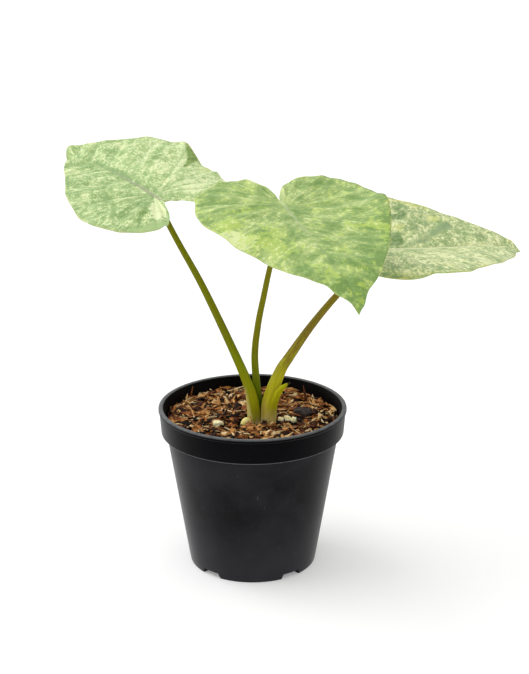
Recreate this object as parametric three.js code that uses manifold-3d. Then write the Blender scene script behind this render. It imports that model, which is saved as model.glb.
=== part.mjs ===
// A potted variegated night-scented lily: an aroid house plant with three large heart-shaped
// leaves, standing in bark and coir mix in a 12 cm nursery pot.
// Millimetres, +Z up. The origin is the centre of the pot's underside, and -Y is the front.

import * as THREE from "three";
import { mergeVertices } from "three/addons/utils/BufferGeometryUtils.js";
import Module from "manifold-3d";

const wasm = await Module();
wasm.setup();

const CLEARANCE = 0.3; // running gap left between two pieces that touch
const MERGE = 1e-4; // points nearer than this are one point
const SIMPLIFY = 0.02; // points that a face can lose within this distance are dropped
const X_AXIS = new THREE.Vector3(1, 0, 0);
const Y_AXIS = new THREE.Vector3(0, 1, 0);

// The pot

const POT = {
  height: 105,
  wall: 1.3,
  baseRadius: 40.8,
  underBandRadius: 55.1, // outside of the wall where the rim band starts
  bandHeight: 16.6,
  bandFootRadius: 58.3,
  bandHeadRadius: 59.4,
  lipRadius: 60,
  lipDrop: 2.6,
  footWidth: 3.6,
  floorUnderside: 3.8,
  floorThickness: 1.5,
  padRadius: 9,
  notchAngles: [-130.4, -52.9, 17.7, 88.3, 158.9], // degrees; the first two show at the front
  notchWidth: 13.8,
  notchHeight: 3.5,
  holeRing: 27,
  holeRadius: 4.2,
  segments: 48,
};
POT.bandFoot = POT.height - POT.bandHeight;
POT.taper = (POT.underBandRadius - POT.baseRadius) / POT.bandFoot;
POT.floorTop = POT.floorUnderside + POT.floorThickness;
const outerWall = (z) => POT.baseRadius + POT.taper * z;
const innerWall = (z) => outerWall(z) - POT.wall;

// The mix

const MIX = {
  level: 96.6, // mean height of its top
  mound: 1.4, // how much higher it lies round the plant's foot
  rings: 5,
  chips: 56,
  chipLength: [8, 15],
  chipWidth: [2.2, 4.4],
  chipThickness: [1.1, 2.0],
  seed: 41,
};

// Loose things that lie on the mix: centre, half sizes and turn about Z in degrees

const PALE_LUMPS = [
  { at: [-22, -15.5, 97.9], half: [3.0, 2.3, 1.9], turn: 15 },
  { at: [17.9, -7.4, 98.1], half: [1.9, 1.5, 1.2], turn: -20 },
  { at: [22.1, -7.5, 98.4], half: [1.9, 1.9, 1.7], turn: 10 },
  { at: [26.0, -9.2, 98.4], half: [1.9, 1.7, 1.8], turn: 40 },
];
const BARK_CHIP = { at: [32.2, 3.5, 98.6], half: [5.6, 4.2, 2.2], turn: -12 };

// Slivers that stand up out of the mix: foot, head and half width

const STANDING_SLIVERS = [
  { foot: [-42.2, 36, 94], head: [-39.8, 39, 103.5], half: 0.7 },
  { foot: [35.6, 27, 94], head: [33, 31, 107], half: 0.9 },
  { foot: [-21.6, 20, 95], head: [-22.8, 20.5, 103], half: 1.3 },
];

// The plant's foot and stalks. A station is [x, y, z, half width, half depth].

const CORM = {
  axis: [6, -4.8],
  foot: 58,
  head: 90,
  radius: 12.5,
  roots: 5,
  rootRadius: 1.5,
};
const VISIBLE_ROOT = [
  [-0.5, -6.0, 86, 1.6, 1.6],
  [-2.6, -8.7, 95.8, 1.8, 1.8],
  [-4.2, -11.2, 98.0, 1.8, 1.8],
  [-6.2, -13.6, 95.3, 1.3, 1.3],
  [-8.6, -16.0, 87.0, 0.8, 0.8],
];
const STALKS = {
  right: [
    [9.6, -6.4, 84, 3.9, 4.5],
    [9.7, -6.2, 98, 3.9, 4.6],
    [10.7, -4.0, 110, 3.8, 4.5],
    [17.2, 0.6, 127, 3.2, 3.7],
    [23.1, 3.4, 136, 2.9, 3.2],
    [37.7, 9.8, 155.6, 2.4, 2.5],
    [54.8, 16.4, 174.6, 2.1, 2.1],
    [71.5, 21.6, 189.0, 1.9, 1.9],
    [87.0, 26.0, 201.1, 1.9, 1.9],
  ],
  left: [
    [1.2, -4.6, 84, 4.3, 3.5],
    [1.0, -4.5, 98, 4.3, 3.5],
    [-0.2, -3.6, 110, 3.8, 3.4],
    [-2.8, -2.7, 120, 3.2, 3.1],
    [-11.6, -0.6, 141, 2.7, 2.7],
    [-30.8, 3.6, 182.4, 2.2, 2.2],
    [-46.7, 6.7, 211.9, 1.9, 1.9],
    [-60.8, 10.0, 239.6, 1.85, 1.85],
  ],
  middle: [
    [5.6, 1.9, 84, 2.6, 2.6],
    [5.3, 1.7, 98, 2.6, 2.6],
    [3.5, 0.0, 111, 2.5, 2.5],
    [1.5, -4.7, 139, 2.2, 2.2],
    [3.6, -9.2, 161.8, 2.0, 2.0],
    [7.3, -13.5, 182.4, 1.85, 1.85],
    [11.4, -18.2, 203.4, 1.7, 1.7],
    [20.0, -26.5, 241.3, 1.65, 1.65],
  ],
};
const YOUNG_SHEATH = [
  [12.8, -6.9, 84, 3.2, 2.9],
  [12.3, -7.5, 100, 3.3, 2.9],
  [13.9, -8.1, 111, 3.0, 2.6],
  [17.9, -8.2, 118.8, 2.0, 1.9],
  [23.8, -8.0, 123.2, 0.5, 0.5],
];
const DRY_SHEATH = {
  centre: [8.0, -5.4],
  radius: 8.2,
  from: -152,
  to: -62,
  foot: 91,
  head: 99.5,
  tear: 1.9,
  thickness: 0.8,
};

// The leaf blades. Angles are in degrees. Pairs are [left half, right half], seen from above
// with the tip ahead. A blade is a flat heart, bent along its midrib and across its halves.
// margin holds how far its edge is raised, in millimetres, and edge how much it is drawn out, in
// parts of its reach, at even steps from the tip round to the sinus.

const BLADES = {
  left: {
    junction: [-60.6, 10.0, 239.6],
    length: 95.3,
    halfWidth: [48.4, 52.2],
    fullness: [1.03, 1.03],
    lobe: [1.03, 0.78],
    heading: 129.2,
    turn: 4.8,
    pitch: 11.5,
    sag: -8.5,
    hook: -80.8,
    hookFrom: 0.82,
    back: 8.9,
    roll: -6.7,
    twist: -16.5,
    fold: [3.5, 20.8],
    curl: [-11.7, -37.1],
    lobeFold: [-14.8, 3.6],
    wave: -2.9,
    waves: 1.54,
    phase: [44.1, 78.1],
    margin: [
      [0, 0.2, 2.3, 3.1, 2.2, 0, -0.4, -0.8, -1.3, -0.2, -0.1, 0.3, 0.1, 1.1, 1.9, 0],
      [0, 4.8, 1.8, 0.9, 1.1, 1.1, 2.0, 0.2, -1.5, -0.9, -1.8, -1.7, 0.1, 1.3, 0.5, 0],
    ],
    edge: [
      [
        0, 0.024, 0.026, 0.01, -0.002, 0.015, 0.005, 0.009,
        -0.022, -0.059, -0.075, -0.043, 0.01, -0.041, -0.045, 0,
      ],
      [
        0, 0.032, 0.031, 0.051, 0.064, 0.088, -0.045, -0.067,
        -0.022, 0.038, 0.058, 0.042, 0.038, 0.074, 0.083, 0,
      ],
    ],
  },
  middle: {
    junction: [20.0, -26.5, 241.3],
    length: 113.0,
    halfWidth: [59.0, 53.9],
    fullness: [1.05, 1.0],
    lobe: [0.83, 0.98],
    heading: -67.7,
    turn: 0,
    pitch: -14.3,
    sag: 7.2,
    hook: -52.5,
    hookFrom: 0.56,
    back: -5.6,
    roll: -5.8,
    twist: 12.5,
    fold: [-2.8, 0.6],
    curl: [21.9, -17.2],
    lobeFold: [4.3, -15.5],
    wave: 2.1,
    waves: 1.54,
    phase: [-8.9, -69.9],
    margin: [
      [0, -2.4, -2.6, -0.3, 0.6, 0.2, 0, -0.8, -1.3, 0],
      [0, 0.7, -0.3, 1.1, 0.9, -0.1, -0.8, 0.7, 2.6, 0],
    ],
    edge: [
      [0, 0.005, 0.024, 0.01, 0.03, 0.018, 0.004, 0.008, 0.013, 0],
      [0, -0.006, 0.004, 0, 0, -0.01, 0, -0.001, 0.01, 0],
    ],
  },
  right: {
    junction: [87.0, 26.0, 201.1],
    length: 106.1,
    halfWidth: [60.5, 59.2],
    fullness: [1.07, 1.11],
    lobe: [1.1, 0.96],
    heading: 24.2,
    turn: 8.9,
    pitch: -5.6,
    sag: 1.3,
    hook: -18.6,
    hookFrom: 0.56,
    back: -2.3,
    roll: 10.1,
    twist: 4.0,
    fold: [13.2, 14.9],
    curl: [-3.2, -9.1],
    lobeFold: [5.8, -8.7],
    wave: 0.7,
    waves: 1.47,
    phase: [-35.4, -24.7],
    margin: [
      [0, 1.7, -0.4, -0.4, 0.4, 0.5, 0.1, 0, -0.2, 0],
      [0, -1.7, -1.4, 0.6, -0.9, -1.2, 0.3, 0.5, 0.3, 0],
    ],
    edge: [
      [0, 0.003, 0.003, 0.01, 0.013, 0.007, 0, -0.006, -0.004, 0],
      [0, 0.005, 0.004, 0.001, 0.016, 0.009, -0.012, -0.017, -0.01, 0],
    ],
  },
};
// Half outline of a blade from its tip round the rear lobe to the sinus, in parts of its length
// and of its half width, with the stalk's junction at the origin.
const OUTLINE = [
  [1.0, 0.0],
  [0.9, 0.11],
  [0.74, 0.36],
  [0.5, 0.7],
  [0.2, 0.95],
  [-0.1, 0.98],
  [-0.32, 0.78],
  [-0.4, 0.48],
  [-0.33, 0.22],
  [-0.18, 0.07],
  [-0.07, 0.0],
];
const SINUS = 0.07; // part of the length from the junction back to the sinus
const LOBE_REACH = 0.4; // part of the length that the rear lobes reach back
const VEIN_SWEEP = 0.55; // how far a side vein runs forward for its run sideways
const MARGIN_STEPS = 36;
const ACROSS = [0, 0.045, 0.12, 0.3, 0.52, 0.77, 1]; // from the midrib to the margin
const BLADE_THICKNESS = 0.7;
const MIDRIB = { height: 1.9, halfWidth: 2.2, atTip: 0.15 };
const BEND_STEPS = 120;

// Seeded random numbers from 0 to 1

function randomFrom(seed) {
  let state = seed;
  return () => {
    state = (state + 0x6d2b79f5) | 0;
    let t = Math.imul(state ^ (state >>> 15), 1 | state);
    t = (t + Math.imul(t ^ (t >>> 7), 61 | t)) ^ t;
    return ((t ^ (t >>> 14)) >>> 0) / 4294967296;
  };
}
const between = (random, [low, high]) => low + (high - low) * random();
const radians = THREE.MathUtils.degToRad;
const vector = (p) => new THREE.Vector3(p[0], p[1], p[2]);

// Geometry to solid and back

function geometryOf(points, triangles) {
  const geometry = new THREE.BufferGeometry();
  geometry.setAttribute("position", new THREE.Float32BufferAttribute(points, 3));
  geometry.setIndex(triangles);
  return geometry;
}

function solidOf(geometry) {
  const bare = geometry.clone();
  bare.deleteAttribute("normal");
  bare.deleteAttribute("uv");
  const merged = mergeVertices(bare, MERGE);
  const points = merged.attributes.position.array;
  const index = merged.index.array;
  const corner = (i) => new THREE.Vector3().fromArray(points, 3 * i);
  const kept = [];
  let volume = 0;
  for (let i = 0; i < index.length; i += 3) {
    const [a, b, c] = [index[i], index[i + 1], index[i + 2]];
    if (a === b || b === c || c === a) continue;
    kept.push(a, b, c);
    volume += corner(a).dot(corner(b).cross(corner(c)));
  }
  const facing = volume < 0 ? kept.reverse() : kept;
  const triVerts = new Uint32Array(facing);
  return new wasm.Manifold(new wasm.Mesh({ numProp: 3, vertProperties: points, triVerts }));
}

// The largest body of a solid: loose scraps and sealed hollows that a cut or a join left go.
function largestBody(solid) {
  const bodies = solid.decompose();
  return bodies.reduce((best, body) => (body.volume() > best.volume() ? body : best));
}

const plant = new THREE.Group();

function addPiece(name, solid, colour, roughness) {
  const { vertProperties, triVerts } = largestBody(solid).getMesh();
  const geometry = geometryOf(Array.from(vertProperties), Array.from(triVerts));
  geometry.computeVertexNormals();
  const material = new THREE.MeshStandardMaterial({ color: colour, roughness, metalness: 0 });
  const mesh = new THREE.Mesh(geometry, material);
  mesh.name = name;
  plant.add(mesh);
}

function cutBy(solid, cutters) {
  return cutters.reduce((rest, cutter) => rest.subtract(cutter), solid).simplify(SIMPLIFY);
}

// A body turned about Z from a profile of [radius, height] pairs that starts and ends on the axis
function turned(profile, segments = POT.segments) {
  const points = profile.map(([r, z]) => new THREE.Vector2(r, z));
  return new THREE.LatheGeometry(points, segments).rotateX(Math.PI / 2);
}

// Pot: one moulding with a foot ring, a floor, a tapered wall and a rolled collar round its rim

function potSolid() {
  const lipFoot = POT.height - POT.lipDrop;
  const collarRoof = POT.height - 4.3;
  const foot = POT.baseRadius - POT.footWidth;
  const profile = [
    [0, 0],
    [POT.padRadius, 0],
    [POT.padRadius + 1, POT.floorUnderside],
    [foot - 1, POT.floorUnderside],
    [foot, 0],
    [POT.baseRadius - 0.7, 0],
    [outerWall(0.9), 0.9],
    [outerWall(POT.bandFoot), POT.bandFoot],
    [outerWall(collarRoof), collarRoof],
    [POT.bandHeadRadius - POT.wall, collarRoof],
    [POT.bandFootRadius - POT.wall, POT.bandFoot + 0.4],
    [POT.bandFootRadius - POT.wall + 0.4, POT.bandFoot],
    [POT.bandFootRadius - 0.3, POT.bandFoot],
    [POT.bandFootRadius, POT.bandFoot + 0.5],
    [POT.bandHeadRadius, lipFoot],
    [POT.lipRadius, lipFoot + 0.4],
    [POT.lipRadius, POT.height - 0.8],
    [POT.lipRadius - 0.8, POT.height],
    [innerWall(POT.height) + 0.7, POT.height],
    [innerWall(POT.height - 0.7), POT.height - 0.7],
    [innerWall(POT.floorTop + 1.2), POT.floorTop + 1.2],
    [innerWall(POT.floorTop) - 1.2, POT.floorTop],
    [0, POT.floorTop],
  ];
  const cutters = [];
  for (const angle of POT.notchAngles.map(radians)) {
    const arch = new THREE.Shape();
    const half = POT.notchWidth / 2;
    arch.moveTo(-half, -1).lineTo(half, -1).lineTo(half - 0.8, POT.notchHeight);
    arch.lineTo(0.8 - half, POT.notchHeight).closePath();
    const notch = new THREE.ExtrudeGeometry(arch, { depth: 12, bevelEnabled: false });
    notch.rotateX(Math.PI / 2).translate(0, POT.baseRadius + 4, 0);
    notch.rotateZ(angle - Math.PI / 2);
    cutters.push(solidOf(notch));
    const hole = new THREE.CylinderGeometry(POT.holeRadius, POT.holeRadius, 8, 16);
    hole.rotateX(Math.PI / 2).translate(POT.holeRing, 0, POT.floorTop).rotateZ(angle);
    cutters.push(solidOf(hole));
  }
  return cutBy(solidOf(turned(profile)), cutters);
}

// Stalks, roots and sheaths: an ellipse carried along a smooth curve through its stations

function stemSolid(stations, across, { grow = 0, sides = 10, perStation = 3 } = {}) {
  const path = new THREE.CatmullRomCurve3(stations.map(vector), false, "catmullrom");
  const halves = stations.map(([, , , wide, deep]) => new THREE.Vector3(wide, deep, 0));
  const sizes = new THREE.CatmullRomCurve3(halves, false, "catmullrom");
  const steps = (stations.length - 1) * perStation;
  const points = [];
  const triangles = [];
  for (let i = 0; i <= steps; i += 1) {
    const u = i / steps;
    const centre = path.getPoint(u);
    const along = path.getTangent(u);
    const size = sizes.getPoint(u);
    if (i === 0) centre.addScaledVector(along, -grow);
    if (i === steps) centre.addScaledVector(along, grow);
    const wide = across.clone().addScaledVector(along, -across.dot(along)).normalize();
    const deep = along.clone().cross(wide);
    for (let j = 0; j < sides; j += 1) {
      const angle = (2 * Math.PI * j) / sides;
      const point = centre.clone();
      point.addScaledVector(wide, (size.x + grow) * Math.cos(angle));
      point.addScaledVector(deep, (size.y + grow) * Math.sin(angle));
      points.push(point.x, point.y, point.z);
    }
  }
  for (let i = 0; i < steps; i += 1) {
    for (let j = 0; j < sides; j += 1) {
      const next = (j + 1) % sides;
      const [a, b] = [i * sides + j, i * sides + next];
      const [c, d] = [a + sides, b + sides];
      triangles.push(a, b, d, a, d, c);
    }
  }
  for (let j = 1; j < sides - 1; j += 1) {
    const last = steps * sides;
    triangles.push(0, j + 1, j, last, last + j, last + j + 1);
  }
  return solidOf(geometryOf(points, triangles));
}

// Corm: the short thick stem base, with its roots bending out and down, and one that shows

function cormSolid(grow = 0) {
  const height = CORM.head - CORM.foot;
  const profile = [[0, CORM.foot - grow]];
  for (const [out, up] of [[0.45, 0.02], [0.8, 0.2], [0.96, 0.45], [1, 0.7], [0.86, 0.9]]) {
    profile.push([out * CORM.radius + grow, CORM.foot + up * height]);
  }
  profile.push([0.5 * CORM.radius, CORM.head + grow], [0, CORM.head + grow]);
  const [x, y] = CORM.axis;
  let solid = solidOf(turned(profile, 20).translate(x, y, 0));
  const random = randomFrom(MIX.seed);
  for (let i = 0; i < CORM.roots; i += 1) {
    const angle = ((i + 0.35 * random()) * 2 * Math.PI) / CORM.roots;
    const start = CORM.foot + height * between(random, [0.25, 0.6]);
    const reach = between(random, [26, 34]);
    const drop = between(random, [22, 44]);
    const root = [];
    for (const [out, down, thin] of [[0.2, 0, 1], [0.55, 0.25, 1], [0.85, 0.6, 0.8], [1, 1, 0.5]]) {
      const sway = angle + 0.25 * out * (i % 2 ? 1 : -1);
      const radius = thin * CORM.rootRadius;
      const side = out * reach;
      root.push([x + side * Math.cos(sway), y + side * Math.sin(sway), start - down * drop, radius, radius]);
    }
    solid = solid.add(stemSolid(root, new THREE.Vector3(0, 0, 1), { grow, sides: 5, perStation: 2 }));
  }
  return solid.add(stemSolid(VISIBLE_ROOT, Y_AXIS, { grow, sides: 8, perStation: 2 }));
}

// Dry sheath: papery remains round the front of the foot, torn along their top

function drySheathSolid(grow = 0) {
  const steps = 12;
  const points = [];
  for (let i = 0; i <= steps; i += 1) {
    const end = i === 0 ? -grow : i === steps ? grow : 0;
    const span = DRY_SHEATH.to - DRY_SHEATH.from;
    const angle = radians(DRY_SHEATH.from + (span * i) / steps) + end / DRY_SHEATH.radius;
    const tear = DRY_SHEATH.tear * (Math.sin(i * 2.3) + 0.6 * Math.sin(i * 5.1));
    const taper = Math.sin((Math.PI * (i + 0.6)) / (steps + 1.2));
    const head = DRY_SHEATH.foot + (DRY_SHEATH.head - DRY_SHEATH.foot) * taper ** 0.4 + tear * taper;
    const inner = DRY_SHEATH.radius - grow;
    const outer = DRY_SHEATH.radius + DRY_SHEATH.thickness + grow;
    const corners = [[inner, DRY_SHEATH.foot - grow], [outer, DRY_SHEATH.foot - grow],
      [outer, head + grow], [inner, head + grow]];
    for (const [radius, z] of corners) {
      const x = DRY_SHEATH.centre[0] + radius * Math.cos(angle);
      const y = DRY_SHEATH.centre[1] + radius * Math.sin(angle);
      points.push(x, y, z);
    }
  }
  const triangles = [0, 2, 1, 0, 3, 2];
  for (let i = 0; i < steps; i += 1) {
    for (let j = 0; j < 4; j += 1) {
      const [a, b] = [4 * i + j, 4 * i + ((j + 1) % 4)];
      triangles.push(a, b, b + 4, a, b + 4, a + 4);
    }
  }
  const last = 4 * steps;
  triangles.push(last, last + 1, last + 2, last, last + 2, last + 3);
  return solidOf(geometryOf(points, triangles));
}

// Leaf blades

const outlineCurve = new THREE.SplineCurve(OUTLINE.map(([x, y]) => new THREE.Vector2(x, y)));

// Value at margin place a of a list at even steps, from a smooth curve through them
function alongMargin(values, a) {
  const knots = values.map((value, i) => new THREE.Vector2(i, value));
  return new THREE.SplineCurve(knots).getPoint(a).y;
}

// Point of the flat half blade at margin place a (0 tip, 1 sinus) and b across (0 midrib, 1 margin)
function flatPoint(blade, half, a, b) {
  const plain = outlineCurve.getPoint(a);
  const meanWidth = (blade.halfWidth[0] + blade.halfWidth[1]) / 2;
  const root = Math.max(plain.x * blade.length - VEIN_SWEEP * plain.y * meanWidth, 0);
  const pull = 1 + (blade.fullness[half] - 1) * THREE.MathUtils.clamp(2 * plain.x, 0, 1);
  const side = Math.max(plain.y, 0) ** (1 / pull) * blade.halfWidth[half];
  const inLobe = plain.x < -SINUS;
  const reach = inLobe ? (plain.x + SINUS) * blade.lobe[half] - SINUS : plain.x;
  const drawn = b * (1 + alongMargin(blade.edge[half], a));
  return [root + (reach * blade.length - root) * drawn, side * drawn];
}

// Heading, pitch and roll of the midrib at x along the flat blade, in radians
function bladeAngles(blade, x) {
  const u = x / blade.length;
  const late = Math.max(u - blade.hookFrom, 0) / (1 - blade.hookFrom);
  const droop = u > 0 ? blade.sag * u + blade.hook * late ** 1.5 : blade.back * u;
  return {
    heading: radians(blade.heading + blade.turn * u),
    pitch: radians(blade.pitch + droop),
    roll: radians(blade.roll + blade.twist * u),
  };
}

function direction({ heading, pitch }) {
  const level = Math.cos(pitch);
  return new THREE.Vector3(level * Math.cos(heading), level * Math.sin(heading), Math.sin(pitch));
}

// The midrib as a curve in space: the sum of its directions, out and back from the junction
function midribOf(blade) {
  const step = blade.length / BEND_STEPS;
  const back = Math.ceil(0.6 * BEND_STEPS);
  const places = [vector(blade.junction)];
  for (let i = 0; i < BEND_STEPS; i += 1) {
    const half = direction(bladeAngles(blade, (i + 0.5) * step));
    places.push(places[i].clone().addScaledVector(half, step));
  }
  for (let i = 0; i < back; i += 1) {
    const half = direction(bladeAngles(blade, -(i + 0.5) * step));
    places.unshift(places[0].clone().addScaledVector(half, -step));
  }
  return (x) => {
    const place = THREE.MathUtils.clamp(x / step + back, 0, places.length - 1.001);
    const low = Math.floor(place);
    return places[low].clone().lerp(places[low + 1], place - low);
  };
}

// Point in space of the flat point (x, y) of one half: y runs off the midrib on an arc whose
// bend is the half's curl, tilted by its fold, with a wave that grows towards the margin. The
// point is raised by lift along the half's own upward direction.
function bentPoint(blade, midrib, half, x, y, lift = 0) {
  const angles = bladeAngles(blade, x);
  const { heading, pitch, roll } = angles;
  const level = new THREE.Vector3(-Math.sin(heading), Math.cos(heading), 0);
  const up = direction(angles).cross(level);
  const side = level.clone().multiplyScalar(Math.cos(roll)).addScaledVector(up, Math.sin(roll));
  const normal = up.multiplyScalar(Math.cos(roll)).addScaledVector(level, -Math.sin(roll));
  const width = blade.halfWidth[half];
  const inLobe = THREE.MathUtils.clamp(-x / (LOBE_REACH * blade.length), 0, 1);
  const fold = radians(blade.fold[half] + blade.lobeFold[half] * inLobe);
  const bend = radians(blade.curl[half]) / width + 1e-7;
  const out = (Math.sin(fold + bend * y) - Math.sin(fold)) / bend;
  const turns = radians(blade.phase[half]) + (blade.waves * 2 * Math.PI * x) / blade.length;
  const rise = (Math.cos(fold) - Math.cos(fold + bend * y)) / bend
    + blade.wave * (y / width) ** 2 * Math.sin(turns) + lift;
  const hand = half === 0 ? 1 : -1;
  return midrib(x).addScaledVector(side, hand * out).addScaledVector(normal, rise);
}

// Upward normal of the surface there. On the midrib it is the mean of the two halves' normals.
function bladeNormal(blade, midrib, half, x, y) {
  const reach = 0.5;
  const halves = y < 1e-6 ? [0, 1] : [half];
  const normal = new THREE.Vector3();
  for (const one of halves) {
    const along = bentPoint(blade, midrib, one, x + reach, y);
    along.sub(bentPoint(blade, midrib, one, x - reach, y));
    const across = bentPoint(blade, midrib, one, x, y + reach);
    across.sub(bentPoint(blade, midrib, one, x, y));
    const hand = one === 0 ? 1 : -1;
    normal.addScaledVector(along.cross(across).normalize(), hand);
  }
  return normal.normalize();
}

function bladeSolid(blade, grow = 0) {
  const midrib = midribOf(blade);
  const points = [];
  const triangles = [];
  const columns = ACROSS.length;
  const face = 2 * (MARGIN_STEPS + 1) * columns;
  for (const lower of [false, true]) {
    for (const half of [0, 1]) {
      for (let i = 0; i <= MARGIN_STEPS; i += 1) {
        const rim = alongMargin(blade.margin[half], i / MARGIN_STEPS);
        for (const b of ACROSS) {
          const [x, y] = flatPoint(blade, half, i / MARGIN_STEPS, b);
          const ahead = THREE.MathUtils.clamp(x / blade.length, 0, 1);
          const rib = MIDRIB.height * (1 - (1 - MIDRIB.atTip) * ahead);
          const ridge = rib * Math.exp(-((y / MIDRIB.halfWidth) ** 2));
          const depth = lower ? -(BLADE_THICKNESS + ridge + grow) : grow;
          const point = bentPoint(blade, midrib, half, x, y, rim * b ** 3);
          point.addScaledVector(bladeNormal(blade, midrib, half, x, y), depth);
          points.push(point.x, point.y, point.z);
        }
      }
    }
  }
  const addTriangle = (flip, a, b, c) => triangles.push(...(flip ? [a, c, b] : [a, b, c]));
  for (const half of [0, 1]) {
    const start = half * (MARGIN_STEPS + 1) * columns;
    for (let i = 0; i < MARGIN_STEPS; i += 1) {
      for (let j = 0; j < columns - 1; j += 1) {
        const a = start + i * columns + j;
        const [b, c, d] = [a + 1, a + columns, a + columns + 1];
        for (const level of [0, face]) {
          const flip = (level === 0) === (half === 0);
          addTriangle(flip, a + level, b + level, d + level);
          addTriangle(flip, a + level, d + level, c + level);
        }
      }
      const edge = start + i * columns + columns - 1;
      const next = edge + columns;
      addTriangle(half === 0, edge, edge + face, next + face);
      addTriangle(half === 0, edge, next + face, next);
    }
  }
  return solidOf(geometryOf(points, triangles));
}

// Mix: a plug that fills the pot, with a rough top of bark chips, coir and slivers

function mixHeight(x, y) {
  const [cx, cy] = CORM.axis;
  const mound = MIX.mound * Math.exp(-((x - cx) ** 2 + (y - cy) ** 2) / 500);
  const rough = 0.6 * Math.sin(0.31 * x + 1.1) * Math.cos(0.27 * y) + 0.4 * Math.sin(0.5 * y + 0.2 * x);
  return MIX.level + mound + rough;
}

function mixPlug() {
  const top = MIX.level;
  const floor = POT.floorTop + CLEARANCE;
  const radius = (z) => innerWall(z) - CLEARANCE;
  const profile = [[0, floor], [radius(floor) - 1.6, floor], [radius(floor + 1.6), floor + 1.6]];
  for (let i = 0; i <= MIX.rings; i += 1) {
    const part = 1 - i / MIX.rings;
    profile.push([radius(top) * part, top]);
  }
  const geometry = turned(profile);
  const position = geometry.attributes.position;
  for (let i = 0; i < position.count; i += 1) {
    if (position.getZ(i) < top - 0.01) continue;
    const [x, y] = [position.getX(i), position.getY(i)];
    position.setZ(i, Math.hypot(x, y) > radius(top) - 0.1 ? top : mixHeight(x, y));
  }
  return solidOf(geometry);
}

// A chip: a slab with narrow ends, half sunk into the mix
function chipSolid(length, width, thickness, place, turn, tilt) {
  const slab = new THREE.BoxGeometry(length, width, thickness);
  const position = slab.attributes.position;
  for (let i = 0; i < position.count; i += 1) {
    const end = Math.sign(position.getX(i));
    const top = position.getZ(i) > 0 ? 0.7 : 1;
    position.setY(i, position.getY(i) * (end > 0 ? 0.45 : 0.8) * top);
    position.setX(i, position.getX(i) * (top === 1 ? 1 : 0.9));
  }
  slab.rotateY(tilt).rotateZ(turn).translate(...place);
  return solidOf(slab);
}

function sliverSolid({ foot, head, half }, grow = 0) {
  const middle = foot.map((value, i) => (value + head[i]) / 2);
  const stations = [
    [...foot, half, half * 0.7],
    [...middle, half, half * 0.7],
    [...head, half * 0.3, half * 0.3],
  ];
  return stemSolid(stations, X_AXIS, { grow, sides: 5, perStation: 1 });
}

function mixSolid(cutters) {
  const random = randomFrom(MIX.seed);
  const bodies = [mixPlug()];
  const golden = Math.PI * (3 - Math.sqrt(5));
  for (let i = 0; i < MIX.chips; i += 1) {
    const length = between(random, MIX.chipLength);
    const reach = innerWall(MIX.level) - CLEARANCE - 0.6 - length / 2;
    const radius = reach * Math.sqrt((i + 0.5) / MIX.chips);
    const angle = i * golden + 0.4 * random();
    const [x, y] = [radius * Math.cos(angle), radius * Math.sin(angle)];
    const width = between(random, MIX.chipWidth);
    const thickness = between(random, MIX.chipThickness);
    const place = [x, y, mixHeight(x, y) + 0.25 * thickness];
    const tilt = 0.22 * (random() - 0.5);
    bodies.push(chipSolid(length, width, thickness, place, random() * Math.PI, tilt));
  }
  bodies.push(...STANDING_SLIVERS.map((sliver) => sliverSolid(sliver)));
  return cutBy(wasm.Manifold.union(bodies), cutters);
}

// A rough lump or chip: a low ball whose points are pushed in and out by a formula
function lumpSolid({ at, half, turn }, index, grow = 0) {
  const ball = new THREE.IcosahedronGeometry(1, 1);
  const position = ball.attributes.position;
  for (let i = 0; i < position.count; i += 1) {
    const point = new THREE.Vector3().fromBufferAttribute(position, i);
    const seed = 3.1 * index;
    const bump = 0.12 * Math.sin(5 * point.x + seed) + 0.1 * Math.cos(6 * point.y - 4 * point.z + seed);
    point.multiplyScalar(1 + bump);
    point.set(point.x * half[0], point.y * half[1], point.z * half[2]);
    point.addScaledVector(point.clone().normalize(), grow * 1.3);
    position.setXYZ(i, point.x, point.y, point.z);
  }
  return solidOf(ball.rotateZ(radians(turn)).translate(...at));
}

// The bark chip: a thick flat flake with broken ends
function barkChipSolid(grow = 0) {
  const outline = [[-1, -0.35], [-0.55, -0.95], [0.35, -1], [0.95, -0.5], [1, 0.3], [0.5, 0.95], [-0.6, 0.8]];
  const [hx, hy, hz] = BARK_CHIP.half;
  const corner = ([x, y]) => new THREE.Vector2(x * (hx + grow), y * (hy + grow));
  const flake = new THREE.ExtrudeGeometry(new THREE.Shape(outline.map(corner)), {
    depth: 2 * (hz + grow) - 1.4,
    bevelThickness: 0.7,
    bevelSize: 0.6,
    bevelOffset: -0.6,
    bevelSegments: 1,
  });
  flake.translate(0, 0, 0.7 - hz - grow);
  flake.rotateX(0.16).rotateY(-0.1).rotateZ(radians(BARK_CHIP.turn)).translate(...BARK_CHIP.at);
  return solidOf(flake);
}

// Assembly, each piece cut clear of those that it touches

const rightStalk = (grow) => stemSolid(STALKS.right, Y_AXIS, { grow });
const leftStalk = (grow) => stemSolid(STALKS.left, X_AXIS, { grow });
const middleStalk = (grow) => stemSolid(STALKS.middle, X_AXIS, { grow });
const sheath = (grow) => stemSolid(YOUNG_SHEATH, Y_AXIS, { grow });
const blades = Object.fromEntries(Object.entries(BLADES).map(([side, blade]) => [side, bladeSolid(blade)]));
const overBlade = (side) => bladeSolid(BLADES[side], CLEARANCE);

const grownCorm = cormSolid(CLEARANCE);
const grownRight = rightStalk(CLEARANCE);
const grownLeft = leftStalk(CLEARANCE);
const grownMiddle = middleStalk(CLEARANCE);
const grownSheath = sheath(CLEARANCE);
const looseCutters = PALE_LUMPS.map((lump, i) => lumpSolid(lump, i, CLEARANCE));
looseCutters.push(barkChipSolid(CLEARANCE));
const footCutters = [grownCorm, grownRight, grownLeft, grownMiddle, grownSheath];

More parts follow.
